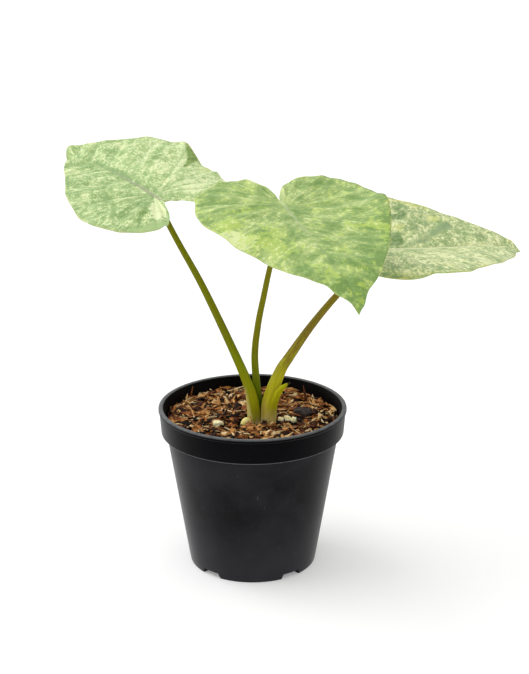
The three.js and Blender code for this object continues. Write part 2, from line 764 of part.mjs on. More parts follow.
addPiece("pot", potSolid(), 0x1d1d1f, 0.55);
const mixCutters = [...footCutters, drySheathSolid(CLEARANCE), ...looseCutters];
addPiece("potting_mix", mixSolid(mixCutters), 0x6b4a30, 0.9);
addPiece("corm", cormSolid(), 0xe2d58c, 0.5);
addPiece("petiole_right", cutBy(rightStalk(0), [grownCorm, overBlade("right")]), 0x8f9636, 0.45);
addPiece("petiole_left", cutBy(leftStalk(0), [grownCorm, grownRight, overBlade("left")]), 0x7f9327, 0.45);
addPiece(
  "petiole_middle",
  cutBy(middleStalk(0), [grownCorm, grownRight, grownLeft, overBlade("middle")]),
  0x6f8424,
  0.45,
);
addPiece("young_sheath", cutBy(sheath(0), [grownCorm, grownRight, grownLeft]), 0xa3b238, 0.45);
addPiece("dry_sheath", cutBy(drySheathSolid(), footCutters), 0x8a6548, 0.85);
addPiece("blade_left", blades.left, 0xb9cc93, 0.4);
addPiece("blade_middle", blades.middle, 0x9dbb73, 0.4);
addPiece("blade_right", blades.right, 0xc3cf9d, 0.4);
addPiece("bark_chip", barkChipSolid(), 0x3a2f2c, 0.85);
PALE_LUMPS.forEach((lump, i) => addPiece(`pale_lump_${i + 1}`, lumpSolid(lump, i), 0xe8e2b8, 0.8));

export default plant;
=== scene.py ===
# %% [markdown]
# # A potted variegated night-scented lily
# Three large heart-shaped leaves stand on long stalks in a plain black nursery pot, in a mix of
# bark and coir. The frame gives every piece its place and size. Here each one gets the shape of
# its surface and its finish: veins and marbling on the leaves, grooves on the stalks, loose
# flakes on the mix, and wear on the pot.
#
# All lengths are worked out in millimetres and become metres when a mesh is made. Each shape is
# a formula over a grid, computed as whole arrays.

# %% Load the frame
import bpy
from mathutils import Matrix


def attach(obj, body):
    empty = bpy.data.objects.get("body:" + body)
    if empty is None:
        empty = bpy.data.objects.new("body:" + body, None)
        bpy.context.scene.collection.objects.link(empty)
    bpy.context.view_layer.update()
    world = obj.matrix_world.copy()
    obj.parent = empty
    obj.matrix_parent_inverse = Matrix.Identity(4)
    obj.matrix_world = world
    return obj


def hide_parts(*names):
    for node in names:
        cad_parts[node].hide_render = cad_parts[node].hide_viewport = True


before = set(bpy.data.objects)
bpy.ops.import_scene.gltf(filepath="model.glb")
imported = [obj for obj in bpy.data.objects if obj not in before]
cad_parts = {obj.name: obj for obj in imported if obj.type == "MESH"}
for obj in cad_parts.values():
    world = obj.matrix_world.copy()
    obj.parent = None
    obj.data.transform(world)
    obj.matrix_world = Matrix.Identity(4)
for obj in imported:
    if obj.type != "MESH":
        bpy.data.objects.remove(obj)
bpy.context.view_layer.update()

from types import SimpleNamespace

import bmesh
import bpy
import numpy as np
from mathutils import Matrix, Vector

MM = 0.001
BODY = "root"

# %% [markdown]
# ## Camera
# The pot is the measure for the camera: its rim, its band and its foot are circles of known
# size, and together they fix where the lens stood. It looks along +Y, tilted down by 18 degrees,
# through a long lens that hardly spreads. The lens is stated for the tall side of the picture.

# %% Camera
FRAME_HEIGHT = 674
FOCAL_PIXELS = 1564.9
CAMERA_PLACE = (7.6, -933.5, 460.7)
CAMERA_DOWN = 18.37
SENSOR = 36.0

camera_data = bpy.data.cameras.new("camera")
camera_data.sensor_fit = "VERTICAL"
camera_data.sensor_height = SENSOR
camera_data.lens = SENSOR * FOCAL_PIXELS / FRAME_HEIGHT
camera_data.clip_start = 0.05
camera_data.clip_end = 40.0
camera = bpy.data.objects.new("camera", camera_data)
camera.location = [value * MM for value in CAMERA_PLACE]
camera.rotation_euler = (np.radians(90.0 - CAMERA_DOWN), 0.0, 0.0)
bpy.context.collection.objects.link(camera)
bpy.context.scene.camera = camera
bpy.context.scene.view_settings.view_transform = "Standard"
print("lens", round(camera_data.lens, 1), "mm")

# %% [markdown]
# ## Meshes from arrays
# A grid of points needs only its list of quads. Where a grid narrows to a pole or to a tip, or
# two grids meet, points fall together: those are merged, so that seams and poles are closed.

# %% Grid and mesh helpers
def grid_quads(rows, columns, ring=False, start=0):
    """Quads of a grid numbered row by row. With ring, each row closes on itself."""
    i, j = np.meshgrid(np.arange(rows - 1), np.arange(columns if ring else columns - 1), indexing="ij")
    k = (j + 1) % columns
    corners = [i * columns + j, i * columns + k, (i + 1) * columns + k, (i + 1) * columns + j]
    return np.stack(corners, -1).reshape(-1, 4) + start


def sheet_quads(rows, columns):
    """Quads of two grids that lie back to back, with the rim between them."""
    sheet = grid_quads(rows, columns)
    size = rows * columns
    index = np.arange(size).reshape(rows, columns)
    rim = np.concatenate([index[0, :-1], index[:-1, -1], index[-1, :0:-1], index[:0:-1, 0]])
    after = np.roll(rim, -1)
    edge = np.stack([rim, rim + size, after + size, after], 1)
    return np.vstack([sheet[:, ::-1], sheet + size, edge])


def repeated(quads, count):
    """The quads of one small mesh for many copies of it, whose points follow one another."""
    shift = np.arange(count) * (quads.max() + 1)
    return (quads + shift[:, None, None]).reshape(-1, 4)


def make_piece(name, points, quads, finishes, maps=None, tints=None, face_finish=None):
    """A mesh object from points in millimetres, smooth, with its doubles merged. maps are UV
    maps and tints are numbers, both with one value a point."""
    points = np.asarray(points, float).reshape(-1, 3)
    mesh = bpy.data.meshes.new(name)
    mesh.vertices.add(len(points))
    mesh.vertices.foreach_set("co", (points * MM).ravel())
    mesh.loops.add(quads.size)
    mesh.loops.foreach_set("vertex_index", quads.ravel().astype(np.int32))
    mesh.polygons.add(len(quads))
    mesh.polygons.foreach_set("loop_start", np.arange(0, quads.size, 4, dtype=np.int32))
    mesh.update(calc_edges=True)
    for label, values in (maps or {}).items():
        values = np.asarray(values, np.float32).reshape(-1, 2)
        mesh.uv_layers.new(name=label).data.foreach_set("uv", values[quads.ravel()].ravel())
    for label, values in (tints or {}).items():
        layer = mesh.attributes.new(label, "FLOAT", "POINT")
        layer.data.foreach_set("value", np.asarray(values, np.float32))
    if face_finish is not None:
        mesh.polygons.foreach_set("material_index", np.asarray(face_finish, np.int32))
    for finish in finishes:
        mesh.materials.append(finish)
    merge_doubles(mesh)
    mesh.polygons.foreach_set("use_smooth", np.ones(len(mesh.polygons), bool))
    piece = bpy.data.objects.new(name, mesh)
    bpy.context.collection.objects.link(piece)
    triangles = sum(len(face.vertices) - 2 for face in mesh.polygons)
    print(name, len(mesh.vertices), "points,", triangles, "triangles")
    return piece


def merge_doubles(mesh, distance=2e-6):
    """Merges points that fall together, in metres, and drops the faces that this empties."""
    work = bmesh.new()
    work.from_mesh(mesh)
    bmesh.ops.remove_doubles(work, verts=work.verts, dist=distance)
    bmesh.ops.recalc_face_normals(work, faces=work.faces)
    work.to_mesh(mesh)
    work.free()


def settle(piece, slot, *nodes):
    """The piece rides on the one body and stands for its nodes. slot is not used."""
    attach(piece, BODY)
    if nodes:
        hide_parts(*nodes)

# %% [markdown]
# Curves through a few chosen points give outlines and stalks. The Catmull-Rom spline is used:
# it passes through its points, and between two of them it is a cubic whose slope at each point
# is half the step from the point before to the point after.

# %% Spline helper
def spline(knots, places, mirrored_ends=True):
    """Points of the curve at places from 0 to 1. Past an end, the knots go on by their
    mirror image, or by repeating the end knot."""
    knots = np.asarray(knots, float)
    if mirrored_ends:
        before, after = 2 * knots[0] - knots[1], 2 * knots[-1] - knots[-2]
    else:
        before, after = knots[0], knots[-1]
    padded = np.vstack([before, knots, after])
    place = np.clip(np.asarray(places), 0, 1) * (len(knots) - 1)
    cell = np.minimum(place.astype(int), len(knots) - 2)
    t = (place - cell)[..., None]
    a, b, c, d = (padded[cell + i] for i in range(4))
    slope_b, slope_c = (c - a) / 2, (d - b) / 2
    cube, square = t ** 3, t ** 2
    return (
        (2 * cube - 3 * square + 1) * b + (cube - 2 * square + t) * slope_b
        + (3 * square - 2 * cube) * c + (cube - square) * slope_c
    )


def smooth_step(values, low, high):
    """0 below low, 1 above high, and an S-shaped rise between them."""
    t = np.clip((values - low) / (high - low), 0, 1)
    return t * t * (3 - 2 * t)


def bell(offsets, reaches, height=1.0):
    """Gauss bell: height times exp of minus the sum of (offset / reach) squared."""
    return height * np.exp(-sum((off / reach) ** 2 for off, reach in zip(offsets, reaches)))

# %% [markdown]
# ## Shader maths in Python
# A finish is a small program. One class wraps an output of a node, so that `a * 0.5 + b` adds
# the Math nodes itself. Another holds the material and adds any other node by its type.

# %% Shader helpers
def colour(code):
    """The linear colour of a code such as a0b0c0, as the shader wants it."""
    parts = np.array([int(code[i:i + 2], 16) for i in (0, 2, 4)]) / 255
    linear = np.where(parts <= 0.04045, parts / 12.92, ((parts + 0.055) / 1.055) ** 2.4)
    return (*linear.tolist(), 1.0)


def operator(operation, swapped=False):
    """A method of Term that adds a Math node, with its two inputs swapped where asked."""
    def method(self, other=0.0):
        return self.finish.maths(operation, *((other, self) if swapped else (self, other)))
    return method


class Term:
    """One output of a shader node, on which Python's operators add Math nodes."""

    def __init__(self, finish, socket):
        self.finish, self.socket = finish, socket

    __add__ = __radd__ = operator("ADD")
    __mul__ = __rmul__ = operator("MULTIPLY")
    __sub__, __rsub__ = operator("SUBTRACT"), operator("SUBTRACT", swapped=True)
    __truediv__, __abs__ = operator("DIVIDE"), operator("ABSOLUTE")

    def clip(self):
        """The value kept between 0 and 1."""
        return self.finish.node("Math", {"operation": "ADD", "use_clamp": True}, {0: self, 1: 0.0})

    def rise(self, low, high):
        """0 below low, 1 above high, with a smooth rise between them."""
        ends = {0: self, 1: low, 2: high, 3: 0.0, 4: 1.0}
        return self.finish.node("MapRange", {"interpolation_type": "SMOOTHSTEP"}, ends)

    def part(self, name):
        """X, Y or Z of a vector."""
        return self.finish.node("SeparateXYZ", {}, {0: self}, name)


class Finish:
    """A material with one Principled shader, and the method that adds nodes to it."""

    def __init__(self, name, **constants):
        self.material = bpy.data.materials.new(name)
        self.material.use_nodes = True
        self.tree = self.material.node_tree
        self.shader = self.tree.nodes["Principled BSDF"]
        for label, value in constants.items():
            self.shader.inputs[label.replace("_", " ")].default_value = value

    def node(self, kind, settings=None, inputs=None, output=0):
        """Adds a node: first its settings, or a ramp's stops, then its inputs' values or links."""
        node = self.tree.nodes.new("ShaderNode" + kind)
        for label, value in (settings or {}).items():
            if label == "stops":
                self.set_stops(node.color_ramp, value)
            else:
                setattr(node, label, value)
        for label, value in (inputs or {}).items():
            self.feed(node.inputs[label], value)
        return Term(self, node.outputs[output])

    def set_stops(self, ramp, stops):
        """Sets a ramp's stops, each a place from 0 to 1 and a colour code."""
        while len(ramp.elements) < len(stops):
            ramp.elements.new(1.0)
        for element, (place, code) in zip(ramp.elements, stops):
            element.position = place
            element.color = colour(code)

    def feed(self, socket, value):
        """Links a term to a socket, or sets the socket's own value."""
        if isinstance(value, Term):
            self.tree.links.new(value.socket, socket)
        else:
            socket.default_value = colour(value) if isinstance(value, str) else value

    def maths(self, operation, a, b):
        return self.node("Math", {"operation": operation}, {0: a, 1: b})

    def mix(self, factor, a, b):
        """Colour a where factor is 0 and b where it is 1."""
        return self.node("Mix", {"data_type": "RGBA"}, {0: factor, 6: a, 7: b}, 2)

    def ramp(self, value, *stops):
        return self.node("ValToRGB", {"stops": stops}, {0: value})

    def noise(self, place, scale, detail=3.0, roughness=0.5, distortion=0.0):
        """Cloudy noise from 0 to 1, mostly from 0.3 to 0.7."""
        inputs = {"Vector": place, "Scale": scale, "Detail": detail, "Roughness": roughness}
        return self.node("TexNoise", {}, {**inputs, "Distortion": distortion})

    def stretch(self, place, x, y, z=1.0, shift=(0.0, 0.0, 0.0)):
        """A place with its X, Y and Z scaled, then shifted."""
        return self.node("Mapping", {}, {"Vector": place, "Scale": (x, y, z), "Location": shift})

    def here(self):
        """The place on the object, in metres."""
        return self.node("TexCoord", output="Object")

    def drawn(self, name):
        """The place on one of the piece's own UV maps."""
        return self.node("UVMap", {"uv_map": name})

    def tint(self, name):
        """A number that the piece keeps at each point."""
        return self.node("Attribute", {"attribute_name": name}, output="Fac")

    def made(self, tone, roughness=None, relief=None, height=0.0):
        """The material, with a colour and, where given, a roughness and a relief, whose full
        height is in metres."""
        inputs = self.shader.inputs
        self.feed(inputs["Base Color"], tone)
        if roughness is not None:
            self.feed(inputs["Roughness"], roughness)
        if relief is not None:
            self.feed(inputs["Normal"], self.node("Bump", {}, {"Height": relief, "Distance": height}))
        return self.material

# %% [markdown]
# ## Floor and light
# The picture was taken on a white table under soft light from the upper left: the shadow lies
# to the right of the pot, darkest at its foot, and fades out within a few centimetres. Two
# distant lamps do that: a wide one from above and to the left, and a low one from behind on the
# left that brightens the pot's left edge. A pale sky fills in the shadows, and the floor has a
# little light of its own, so that it stays white.

# %% Floor and light
FLOOR_SIZE = 20.0
FLOOR_TONE = 0.82
FLOOR_GLOW = 0.22
SKY_STRENGTH = 0.86
LAMPS = (  # name, strength, spread in degrees, where the light comes from
    ("key", 1.1, 50.0, (-0.56, 0.08, 0.83)),
    ("side", 1.1, 40.0, (-0.74, 0.6, 0.1)),
)
WHITE = (1.0, 1.0, 1.0, 1.0)

floor_finish = Finish("floor_white", Roughness=0.9, Emission_Color=WHITE, Emission_Strength=FLOOR_GLOW)
bpy.ops.mesh.primitive_plane_add(size=FLOOR_SIZE)
floor = bpy.context.object
floor.name = "floor"
floor.data.materials.append(floor_finish.made((FLOOR_TONE, FLOOR_TONE, FLOOR_TONE, 1.0)))

world = bpy.data.worlds.new("sky")
world.use_nodes = True
background = world.node_tree.nodes["Background"].inputs
background["Color"].default_value = WHITE
background["Strength"].default_value = SKY_STRENGTH
bpy.context.scene.world = world

for name, strength, spread, came_from in LAMPS:
    lamp_data = bpy.data.lights.new(name, "SUN")
    lamp_data.energy = strength
    lamp_data.angle = np.radians(spread)
    lamp = bpy.data.objects.new(name, lamp_data)
    lamp.rotation_euler = Vector(came_from).to_track_quat("Z", "Y").to_euler()
    bpy.context.collection.objects.link(lamp)

# %% [markdown]
# ## Pot
# A nursery pot is one thin moulding. Its section is a list of corners, some of them rounded,
# turned about Z: up the outside of the foot and the tapered wall, up inside the collar, down its
# outside, over the lip, and down the inner wall to the floor. The arches in the foot ring need
# no cut: round the ring, a formula lifts whatever lies below the top of an arch.

# %% Pot: sizes and section
POT_HEIGHT = 105.0
WALL = 1.3
BASE_RADIUS = 40.8
UNDER_BAND_RADIUS = 55.1
BAND_FOOT = POT_HEIGHT - 16.6
BAND_RADII = (58.3, 59.4)
COLLAR_ROOF = POT_HEIGHT - 4.3
LIP_RADIUS = 60.0
LIP_FOOT = POT_HEIGHT - 2.6
RIM_FLARE = 0.7
FLARE_FOOT = 100.0
FLOOR_HEIGHTS = (3.8, 5.3)
PAD_RADIUS = 9.0
RING_INSIDE = BASE_RADIUS - 3.6
OUTER_ROWS = (4.2, 8.0, 46.0, BAND_FOOT)
INNER_ROW = 60.0


def outer_wall(z):
    """Radius of the wall's outside at a height."""
    return BASE_RADIUS + (UNDER_BAND_RADIUS - BASE_RADIUS) * z / BAND_FOOT


def rounded(corners, steps=5):
    """A profile through [radius, height, rounding] corners: each corner with a rounding is
    replaced by a quadratic arc that starts and ends that far from it."""
    corners = np.asarray(corners, float)
    t = np.linspace(0, 1, steps)[:, None]
    profile = [corners[:1, :2]]
    for before, (*here, size), after in zip(corners[:-2, :2], corners[1:-1], corners[2:, :2]):
        if size:
            start, end = (here + (far - here) / np.hypot(*(far - here)) * size for far in (before, after))
            profile.append((1 - t) ** 2 * start + 2 * t * (1 - t) * here + t ** 2 * end)
        else:
            profile.append([here])
    return np.vstack(profile + [corners[-1:, :2]])


pot_profile = rounded([
    [0, 0, 0],
    [PAD_RADIUS, 0, 0.6],
    [PAD_RADIUS + 1, FLOOR_HEIGHTS[0], 0.6],
    [RING_INSIDE - 0.5, FLOOR_HEIGHTS[0], 0.25],
    [RING_INSIDE, 0, 0.3],
    [BASE_RADIUS - 0.1, 0, 0.6],
    *[[outer_wall(z), z, 0] for z in OUTER_ROWS],
    [outer_wall(COLLAR_ROOF), COLLAR_ROOF, 0.3],
    [BAND_RADII[1] - WALL, COLLAR_ROOF, 0.3],
    [BAND_RADII[0] - WALL, BAND_FOOT, 0.3],
    [BAND_RADII[0], BAND_FOOT, 0.45],
    [BAND_RADII[1], LIP_FOOT, 0.25],
    [LIP_RADIUS, LIP_FOOT + 0.5, 0.3],
    [LIP_RADIUS, POT_HEIGHT, 1.1],
    [outer_wall(POT_HEIGHT) - WALL + RIM_FLARE, POT_HEIGHT, 1.0],
    [outer_wall(FLARE_FOOT) - WALL, FLARE_FOOT, 1.0],
    [outer_wall(INNER_ROW) - WALL, INNER_ROW, 0],
    [outer_wall(FLOOR_HEIGHTS[1]) - WALL, FLOOR_HEIGHTS[1], 1.5],
    [0, FLOOR_HEIGHTS[1], 0],
])
print("pot section", len(pot_profile), "points")

# %% Pot: turn the section and lift the arches
POT_SEGMENTS = 360
ARCH_ANGLES = np.array([-130.4, -52.9, 17.7, 88.3, 158.9])
ARCH_WIDTH = 13.8
ARCH_HEIGHT = 3.5
ARCH_SIDE = 0.9


def turned(profile, segments):
    """Points [row, segment, xyz] of a profile of radii and heights carried round Z."""
    angle = np.linspace(0, 2 * np.pi, segments, endpoint=False)
    radius, height = profile[:, :1], profile[:, 1:]
    return np.stack([radius * np.cos(angle), radius * np.sin(angle), height + 0 * angle], -1)


def arch_lift(angle):
    """Height of the nearest arch at an angle in degrees: flat on top, with steep sides."""
    off = np.abs((angle[..., None] - ARCH_ANGLES + 180) % 360 - 180).min(-1)
    half = np.degrees(ARCH_WIDTH / 2 / BASE_RADIUS)
    return ARCH_HEIGHT * np.clip((half - off) / ARCH_SIDE, 0, 1)


pot_points = turned(pot_profile, POT_SEGMENTS)
pot_x, pot_y, pot_z = (pot_points[..., k] for k in range(3))
pot_reach = np.hypot(pot_x, pot_y)
arches = arch_lift(np.degrees(np.arctan2(pot_y, pot_x)))
lifted = np.where(pot_reach > PAD_RADIUS + 4, np.maximum(pot_z, arches), pot_z)
on_wall = np.arange(len(pot_profile))[:, None] >= np.argmax(pot_profile[:, 0] > BASE_RADIUS - 1.0)
taper = (UNDER_BAND_RADIUS - BASE_RADIUS) / BAND_FOOT
outward = 1 + on_wall * (lifted - pot_z) * taper / np.maximum(pot_reach, 1.0)
pot_points[..., :2] *= outward[..., None]
pot_points[..., 2] = lifted
print("pot top", pot_z.max(), "mm, radius", round(pot_x.max(), 1), "mm")

# %% [markdown]
# The plastic is black and matt. Handling has polished the lip to a worn grey, with a thin
# highlight painted along it, and a pale line along the collar's edge is a painted highlight. The
# foot is painted paler, a painted reflection of the floor, and inside and under its floor the
# plastic is a darker copy without sheen: painted shade. The wall has faint smears and a few short
# scratches. The grain of the mould is a bump far finer than a millimetre.

# %% Pot finish
def plastic(name, tone, dusty_tone, edges, **constants):
    """Black moulded plastic: cloudy smears, a paler tone towards the foot that is a painted
    reflection of the floor, pale specks, short scratches and fine grain. edges are heights in
    metres with their half width and amount, where a grey line is painted along an edge: wear from
    handling and a painted highlight."""
    finish = Finish(name, **constants)
    place = finish.here()
    height = place.part("Z")
    smears = finish.noise(place, 24.0, 6.0, 0.62)
    body = finish.mix(smears.rise(0.36, 0.7), tone, dusty_tone)
    # Paler towards the foot: painted reflection of the floor.
    body = finish.mix((1.0 - height.rise(0.0, 0.05)) * 0.5, body, "37363a")
    specks = finish.noise(place, 900.0, 2.0).rise(0.72, 0.8)
    body = finish.mix(specks * smears * 0.4, body, "8b867c")
    scratches = finish.noise(finish.stretch(place, 1.0, 1.0, 0.1), 430.0, 2.0).rise(0.73, 0.77)
    body = finish.mix(scratches * smears.rise(0.45, 0.6) * 0.16, body, "707070")
    # Grey lines along edges: wear on the lip, and a painted highlight on the lip and on the collar's
    # edge.
    wear_and_highlight = finish.noise(place, 260.0, 4.0, 0.6).rise(0.2, 0.6) * 0.5 + 0.5
    for middle, half, amount in edges:
        near = (1.0 - abs(height - middle) / half).clip()
        body = finish.mix(near * wear_and_highlight * amount, body, "9a9ca0")
    grain = finish.noise(place, 2600.0, 2.0) * 0.5 + finish.noise(place, 60.0) * 0.9
    return finish.made(body, 0.38 + smears * 0.2, grain, 0.00007)


# The collar's grey line is a painted highlight; the lip's is wear with a painted highlight.
COLLAR_HIGHLIGHT, LIP_WEAR_AND_HIGHLIGHT = (0.0885, 0.0006, 0.45), (0.1054, 0.0015, 0.62)
plastics = [
    plastic("pot_wall", "0c0c0f", "201f23", [],
            Specular_IOR_Level=0.07, Sheen_Weight=0.29, Sheen_Roughness=0.33),
    plastic("pot_band", "020204", "060609", [COLLAR_HIGHLIGHT, LIP_WEAR_AND_HIGHLIGHT],
            Specular_IOR_Level=0.03, Sheen_Weight=0.26, Sheen_Roughness=0.33),
    # Inside and under the floor: a darker copy of the plastic without sheen, painted shade.
    plastic("pot_inside_painted_shade", "090808", "131112", [], Specular_IOR_Level=0.02),
]

# %% Pot piece
HOLE_RING = 27.0
HOLE_RADIUS = 4.2
HOLE_SIDES = 48
CUTTER_LENGTH = 8.0
SHARP_ANGLE = 38.0
ON_WALL, ON_BAND, ON_INSIDE = 0, 1, 2


def cut_holes(piece, places):
    """Cuts upright round holes by one Boolean with all the cylinders, and applies it."""
    work = bmesh.new()
    size = {"radius1": HOLE_RADIUS * MM, "radius2": HOLE_RADIUS * MM, "depth": CUTTER_LENGTH * MM}
    for place in places:
        at = Matrix.Translation(Vector(place) * MM)
        bmesh.ops.create_cone(work, cap_ends=True, segments=HOLE_SIDES, matrix=at, **size)
    mesh = bpy.data.meshes.new("holes")
    work.to_mesh(mesh)
    work.free()
    cutter = bpy.data.objects.new("holes", mesh)
    bpy.context.collection.objects.link(cutter)
    cut = piece.modifiers.new("holes", "BOOLEAN")
    cut.operation = "DIFFERENCE"
    cut.solver = "EXACT"
    cut.object = cutter
    graph = bpy.context.evaluated_depsgraph_get()
    result = bpy.data.meshes.new_from_object(piece.evaluated_get(graph))
    piece.modifiers.clear()
    old, piece.data = piece.data, result
    bpy.data.meshes.remove(old)
    bpy.data.objects.remove(cutter)


row_radii, row_heights = ((pot_profile[:-1] + pot_profile[1:]) / 2).T
after_lip = np.arange(len(row_radii)) > np.argmax(pot_profile[:, 1] >= POT_HEIGHT) + 3
beneath = (row_heights < FLOOR_HEIGHTS[0] + 0.1) & (row_radii < BASE_RADIUS - 0.5)
row_finish = np.where(row_heights > BAND_FOOT - 0.1, ON_BAND, ON_WALL)
# The inside and the underside take the darker plastic: painted shade.
row_finish = np.where(after_lip | beneath, ON_INSIDE, row_finish)
pot = make_piece(
    "pot_moulding", pot_points, grid_quads(len(pot_profile), POT_SEGMENTS, ring=True), plastics,
    face_finish=np.repeat(row_finish, POT_SEGMENTS))
cut_holes(pot, [
    (HOLE_RING * np.cos(angle), HOLE_RING * np.sin(angle), FLOOR_HEIGHTS[1])
    for angle in np.radians(ARCH_ANGLES)])
pot.data.set_sharp_from_angle(angle=np.radians(SHARP_ANGLE))
settle(pot, "pot_plastic", "pot")
print("pot faces after the holes:", len(pot.data.polygons))

# %% [markdown]
# ## Mix
# The mix is a plug that fills the pot. Its top is uneven: a low mound round the plant, gentle
# hollows, and lumps of a few millimetres. A sum of many small waves with random directions gives
# such a relief, without a pattern that the eye could find.

# %% Mix: relief
MIX_LEVEL = 96.6
MIX_CLEARANCE = 0.3
FOOT_CENTRE = (6.0, -4.8)
MOUND_HEIGHT, MOUND_REACH = 1.4, 22.36068
DIPS = ((4.5, -13.0, 8.5, 4.8, 4.2), (-6.5, -15.2, 3.4, 3.4, 2.3))
random = np.random.default_rng(7)


def wave_field(x, y, lengths, count):
    """Random relief with a spread of 1: the mean of waves whose length, direction and phase
    are drawn at random, with the longer waves higher."""
    total, weight = 0.0, 0.0
    for _ in range(count):
        length = np.exp(random.uniform(*np.log(lengths)))
        turn, phase = random.uniform(0, 2 * np.pi, 2)
        height = length ** 0.6
        total += height * np.sin((x * np.cos(turn) + y * np.sin(turn)) * 2 * np.pi / length + phase)
        weight += height ** 2 / 2
    return total / np.sqrt(weight)


def mix_mean(x, y):
    """Mean height of the mix: level, with a mound round the foot, as in the frame, and two
    dips, (x, y, reach along x, reach along y, depth), that bare the front of the foot."""
    mound = bell((x - FOOT_CENTRE[0], y - FOOT_CENTRE[1]), (MOUND_REACH, MOUND_REACH), MOUND_HEIGHT)
    hollows = 0.6 * np.sin(0.31 * x + 1.1) * np.cos(0.27 * y) + 0.4 * np.sin(0.5 * y + 0.2 * x)
    dips = sum(bell((x - at_x, y - at_y), reaches, depth) for at_x, at_y, *reaches, depth in DIPS)
    return MIX_LEVEL + mound + hollows - dips

# %% Mix: plug
MIX_RINGS = 90
MIX_SEGMENTS = 260
CRUMB_WAVES = (3.0, 12.0)
WAVE_COUNT = 70
CRUMB_HEIGHT = 0.85
CRUMB_SINK = 0.9
EDGE_FADE = 5.0
PLUG_CHAMFER = (2.0, 1.6)
FOOT_EASE = 0.4  # the wall leans out, so the chamfer's upper corner can stand nearer to it
mix_radius = outer_wall(MIX_LEVEL) - WALL - MIX_CLEARANCE
mix_floor = FLOOR_HEIGHTS[1] + MIX_CLEARANCE
foot_radius = outer_wall(mix_floor) - WALL - MIX_CLEARANCE + FOOT_EASE
rings = np.linspace(0, mix_radius, MIX_RINGS)
plug_profile = np.vstack([
    np.stack([rings, np.full(MIX_RINGS, MIX_LEVEL)], 1),
    [[foot_radius, mix_floor + PLUG_CHAMFER[1]], [foot_radius - PLUG_CHAMFER[0], mix_floor],
     [0, mix_floor]],
])
plug_points = turned(plug_profile, MIX_SEGMENTS)
top = plug_points[:MIX_RINGS]
lumps = wave_field(top[..., 0], top[..., 1], CRUMB_WAVES, WAVE_COUNT)
edge_fade = 1 - smooth_step(rings, mix_radius - EDGE_FADE, mix_radius)[:, None]
top[..., 2] = mix_mean(top[..., 0], top[..., 1]) - CRUMB_SINK + CRUMB_HEIGHT * lumps * edge_fade
print("mix top from", round(top[..., 2].min(), 1), "to", round(top[..., 2].max(), 1), "mm")

# %% [markdown]
# Seen close, the mix is dark crumb with lighter flakes on it. The crumb's finish is dark brown
# with fine rough noise, near black at its low end, which is also painted shade in the gaps between
# flakes. The flakes have the grain of wood along them, and each one its own tone: straw, orange
# brown, or nearly black, which a number at each point picks from a ramp.

# %% Mix finishes
def cloudy(name, noise, height, stops, gloss=None, upright=1.0, **constants):
    """A finish of one cloudy noise, given by its scale, detail and roughness: a ramp turns it
    into tones, and it is also the relief. gloss is the roughness where the noise is 0 and how
    much the noise adds. Below 1, upright draws the clouds out along Z."""
    finish = Finish(name, **constants)
    cloud = finish.noise(finish.stretch(finish.here(), 1.0, 1.0, upright), *noise)
    roughness = gloss and gloss[0] + cloud * gloss[1]
    return finish.made(finish.ramp(cloud, *stops), roughness, cloud, height)


def flake_finish(name, stops):
    """Wood with its grain along the flake: the tone is the flake's own tint, streaked."""
    finish = Finish(name, Specular_IOR_Level=0.2)
    streaks = finish.noise(finish.stretch(finish.drawn("grain"), 0.4, 4.5), 1.3, 4.0, 0.65)
    patches = finish.noise(finish.here(), 330.0, 4.0, 0.6)
    shade = finish.tint("tint") + (streaks - 0.5) * 0.6 + (patches - 0.5) * 0.35
    relief = streaks + patches * 0.5
    return finish.made(finish.ramp(shade, *stops), 0.6 + patches * 0.35, relief, 0.0004)


flake_bark = flake_finish("bark_flakes", (
    (0.0, "080302"), (0.17, "1e0e0a"), (0.35, "502a1a"), (0.5, "8a4c25"), (0.64, "bd7a40"),
    (0.79, "ecb16a"), (1.0, "ffe2b2")))
# Near black at its low end: partly the crumb's own dark brown, partly painted shade in the gaps between
# flakes.
crumb_and_gap_shade = cloudy(
    "mix_crumb_and_gap_shade", (420.0, 6.0, 0.75), 0.0012,
    ((0.36, "020101"), (0.52, "120a06"), (0.64, "2e1b0e"), (0.76, "5f3d20")),
    Roughness=0.95, Specular_IOR_Level=0.1)
mix_quads = grid_quads(len(plug_profile), MIX_SEGMENTS, ring=True)
mix_plug = make_piece("mix_plug", plug_points, mix_quads, [crumb_and_gap_shade])
settle(mix_plug, "bark_mix", "potting_mix")

# %% [markdown]
# A flake is a thin curved slip: a small grid, bent along its length and across its width, with
# ragged ends. More than two thousand of them, of four kinds, are worked out as whole arrays with
# an axis for the flakes. They are spread evenly by the golden angle with some jitter, lie at all
# turns, and are stacked two or three deep. Near the wall they turn along it, and none pokes out.

# %% Flakes: one small grid for each
ALONG, ACROSS = 6, 3


def flake_shape(length, width, thickness, bend, curl):
    """Points [flake, face, along, across, xyz] of slips about the origin, X along. The width
    tapers to both ends by a power, with random notches. Bend lifts the ends, curl the sides."""
    count = len(length)
    s = np.linspace(-1, 1, ALONG)[None, :, None]
    t = np.linspace(-1, 1, ACROSS)[None, None, :]
    taper = (1 - np.abs(s) ** 3 * 0.75) * (1 + 0.25 * random.normal(size=(count, ALONG, 1)))
    skew = 0.35 * random.normal(size=(count, 1, 1)) * width
    x = s * length / 2 + 0.06 * length * random.normal(size=(count, ALONG, ACROSS)) * np.abs(s) ** 4
    y = t * width / 2 * taper + skew * s ** 2
    z = bend * length * s ** 2 * 0.5 + curl * width * t ** 2 * 0.5 - bend * length * 0.2
    z = z + 0.05 * width * random.normal(size=(count, ALONG, ACROSS))
    half = thickness / 2 * (1 - 0.55 * s ** 2) * (1 - 0.35 * t ** 2)
    return np.stack([np.stack([x, y, z + side * half], -1) for side in (1, -1)], 1)

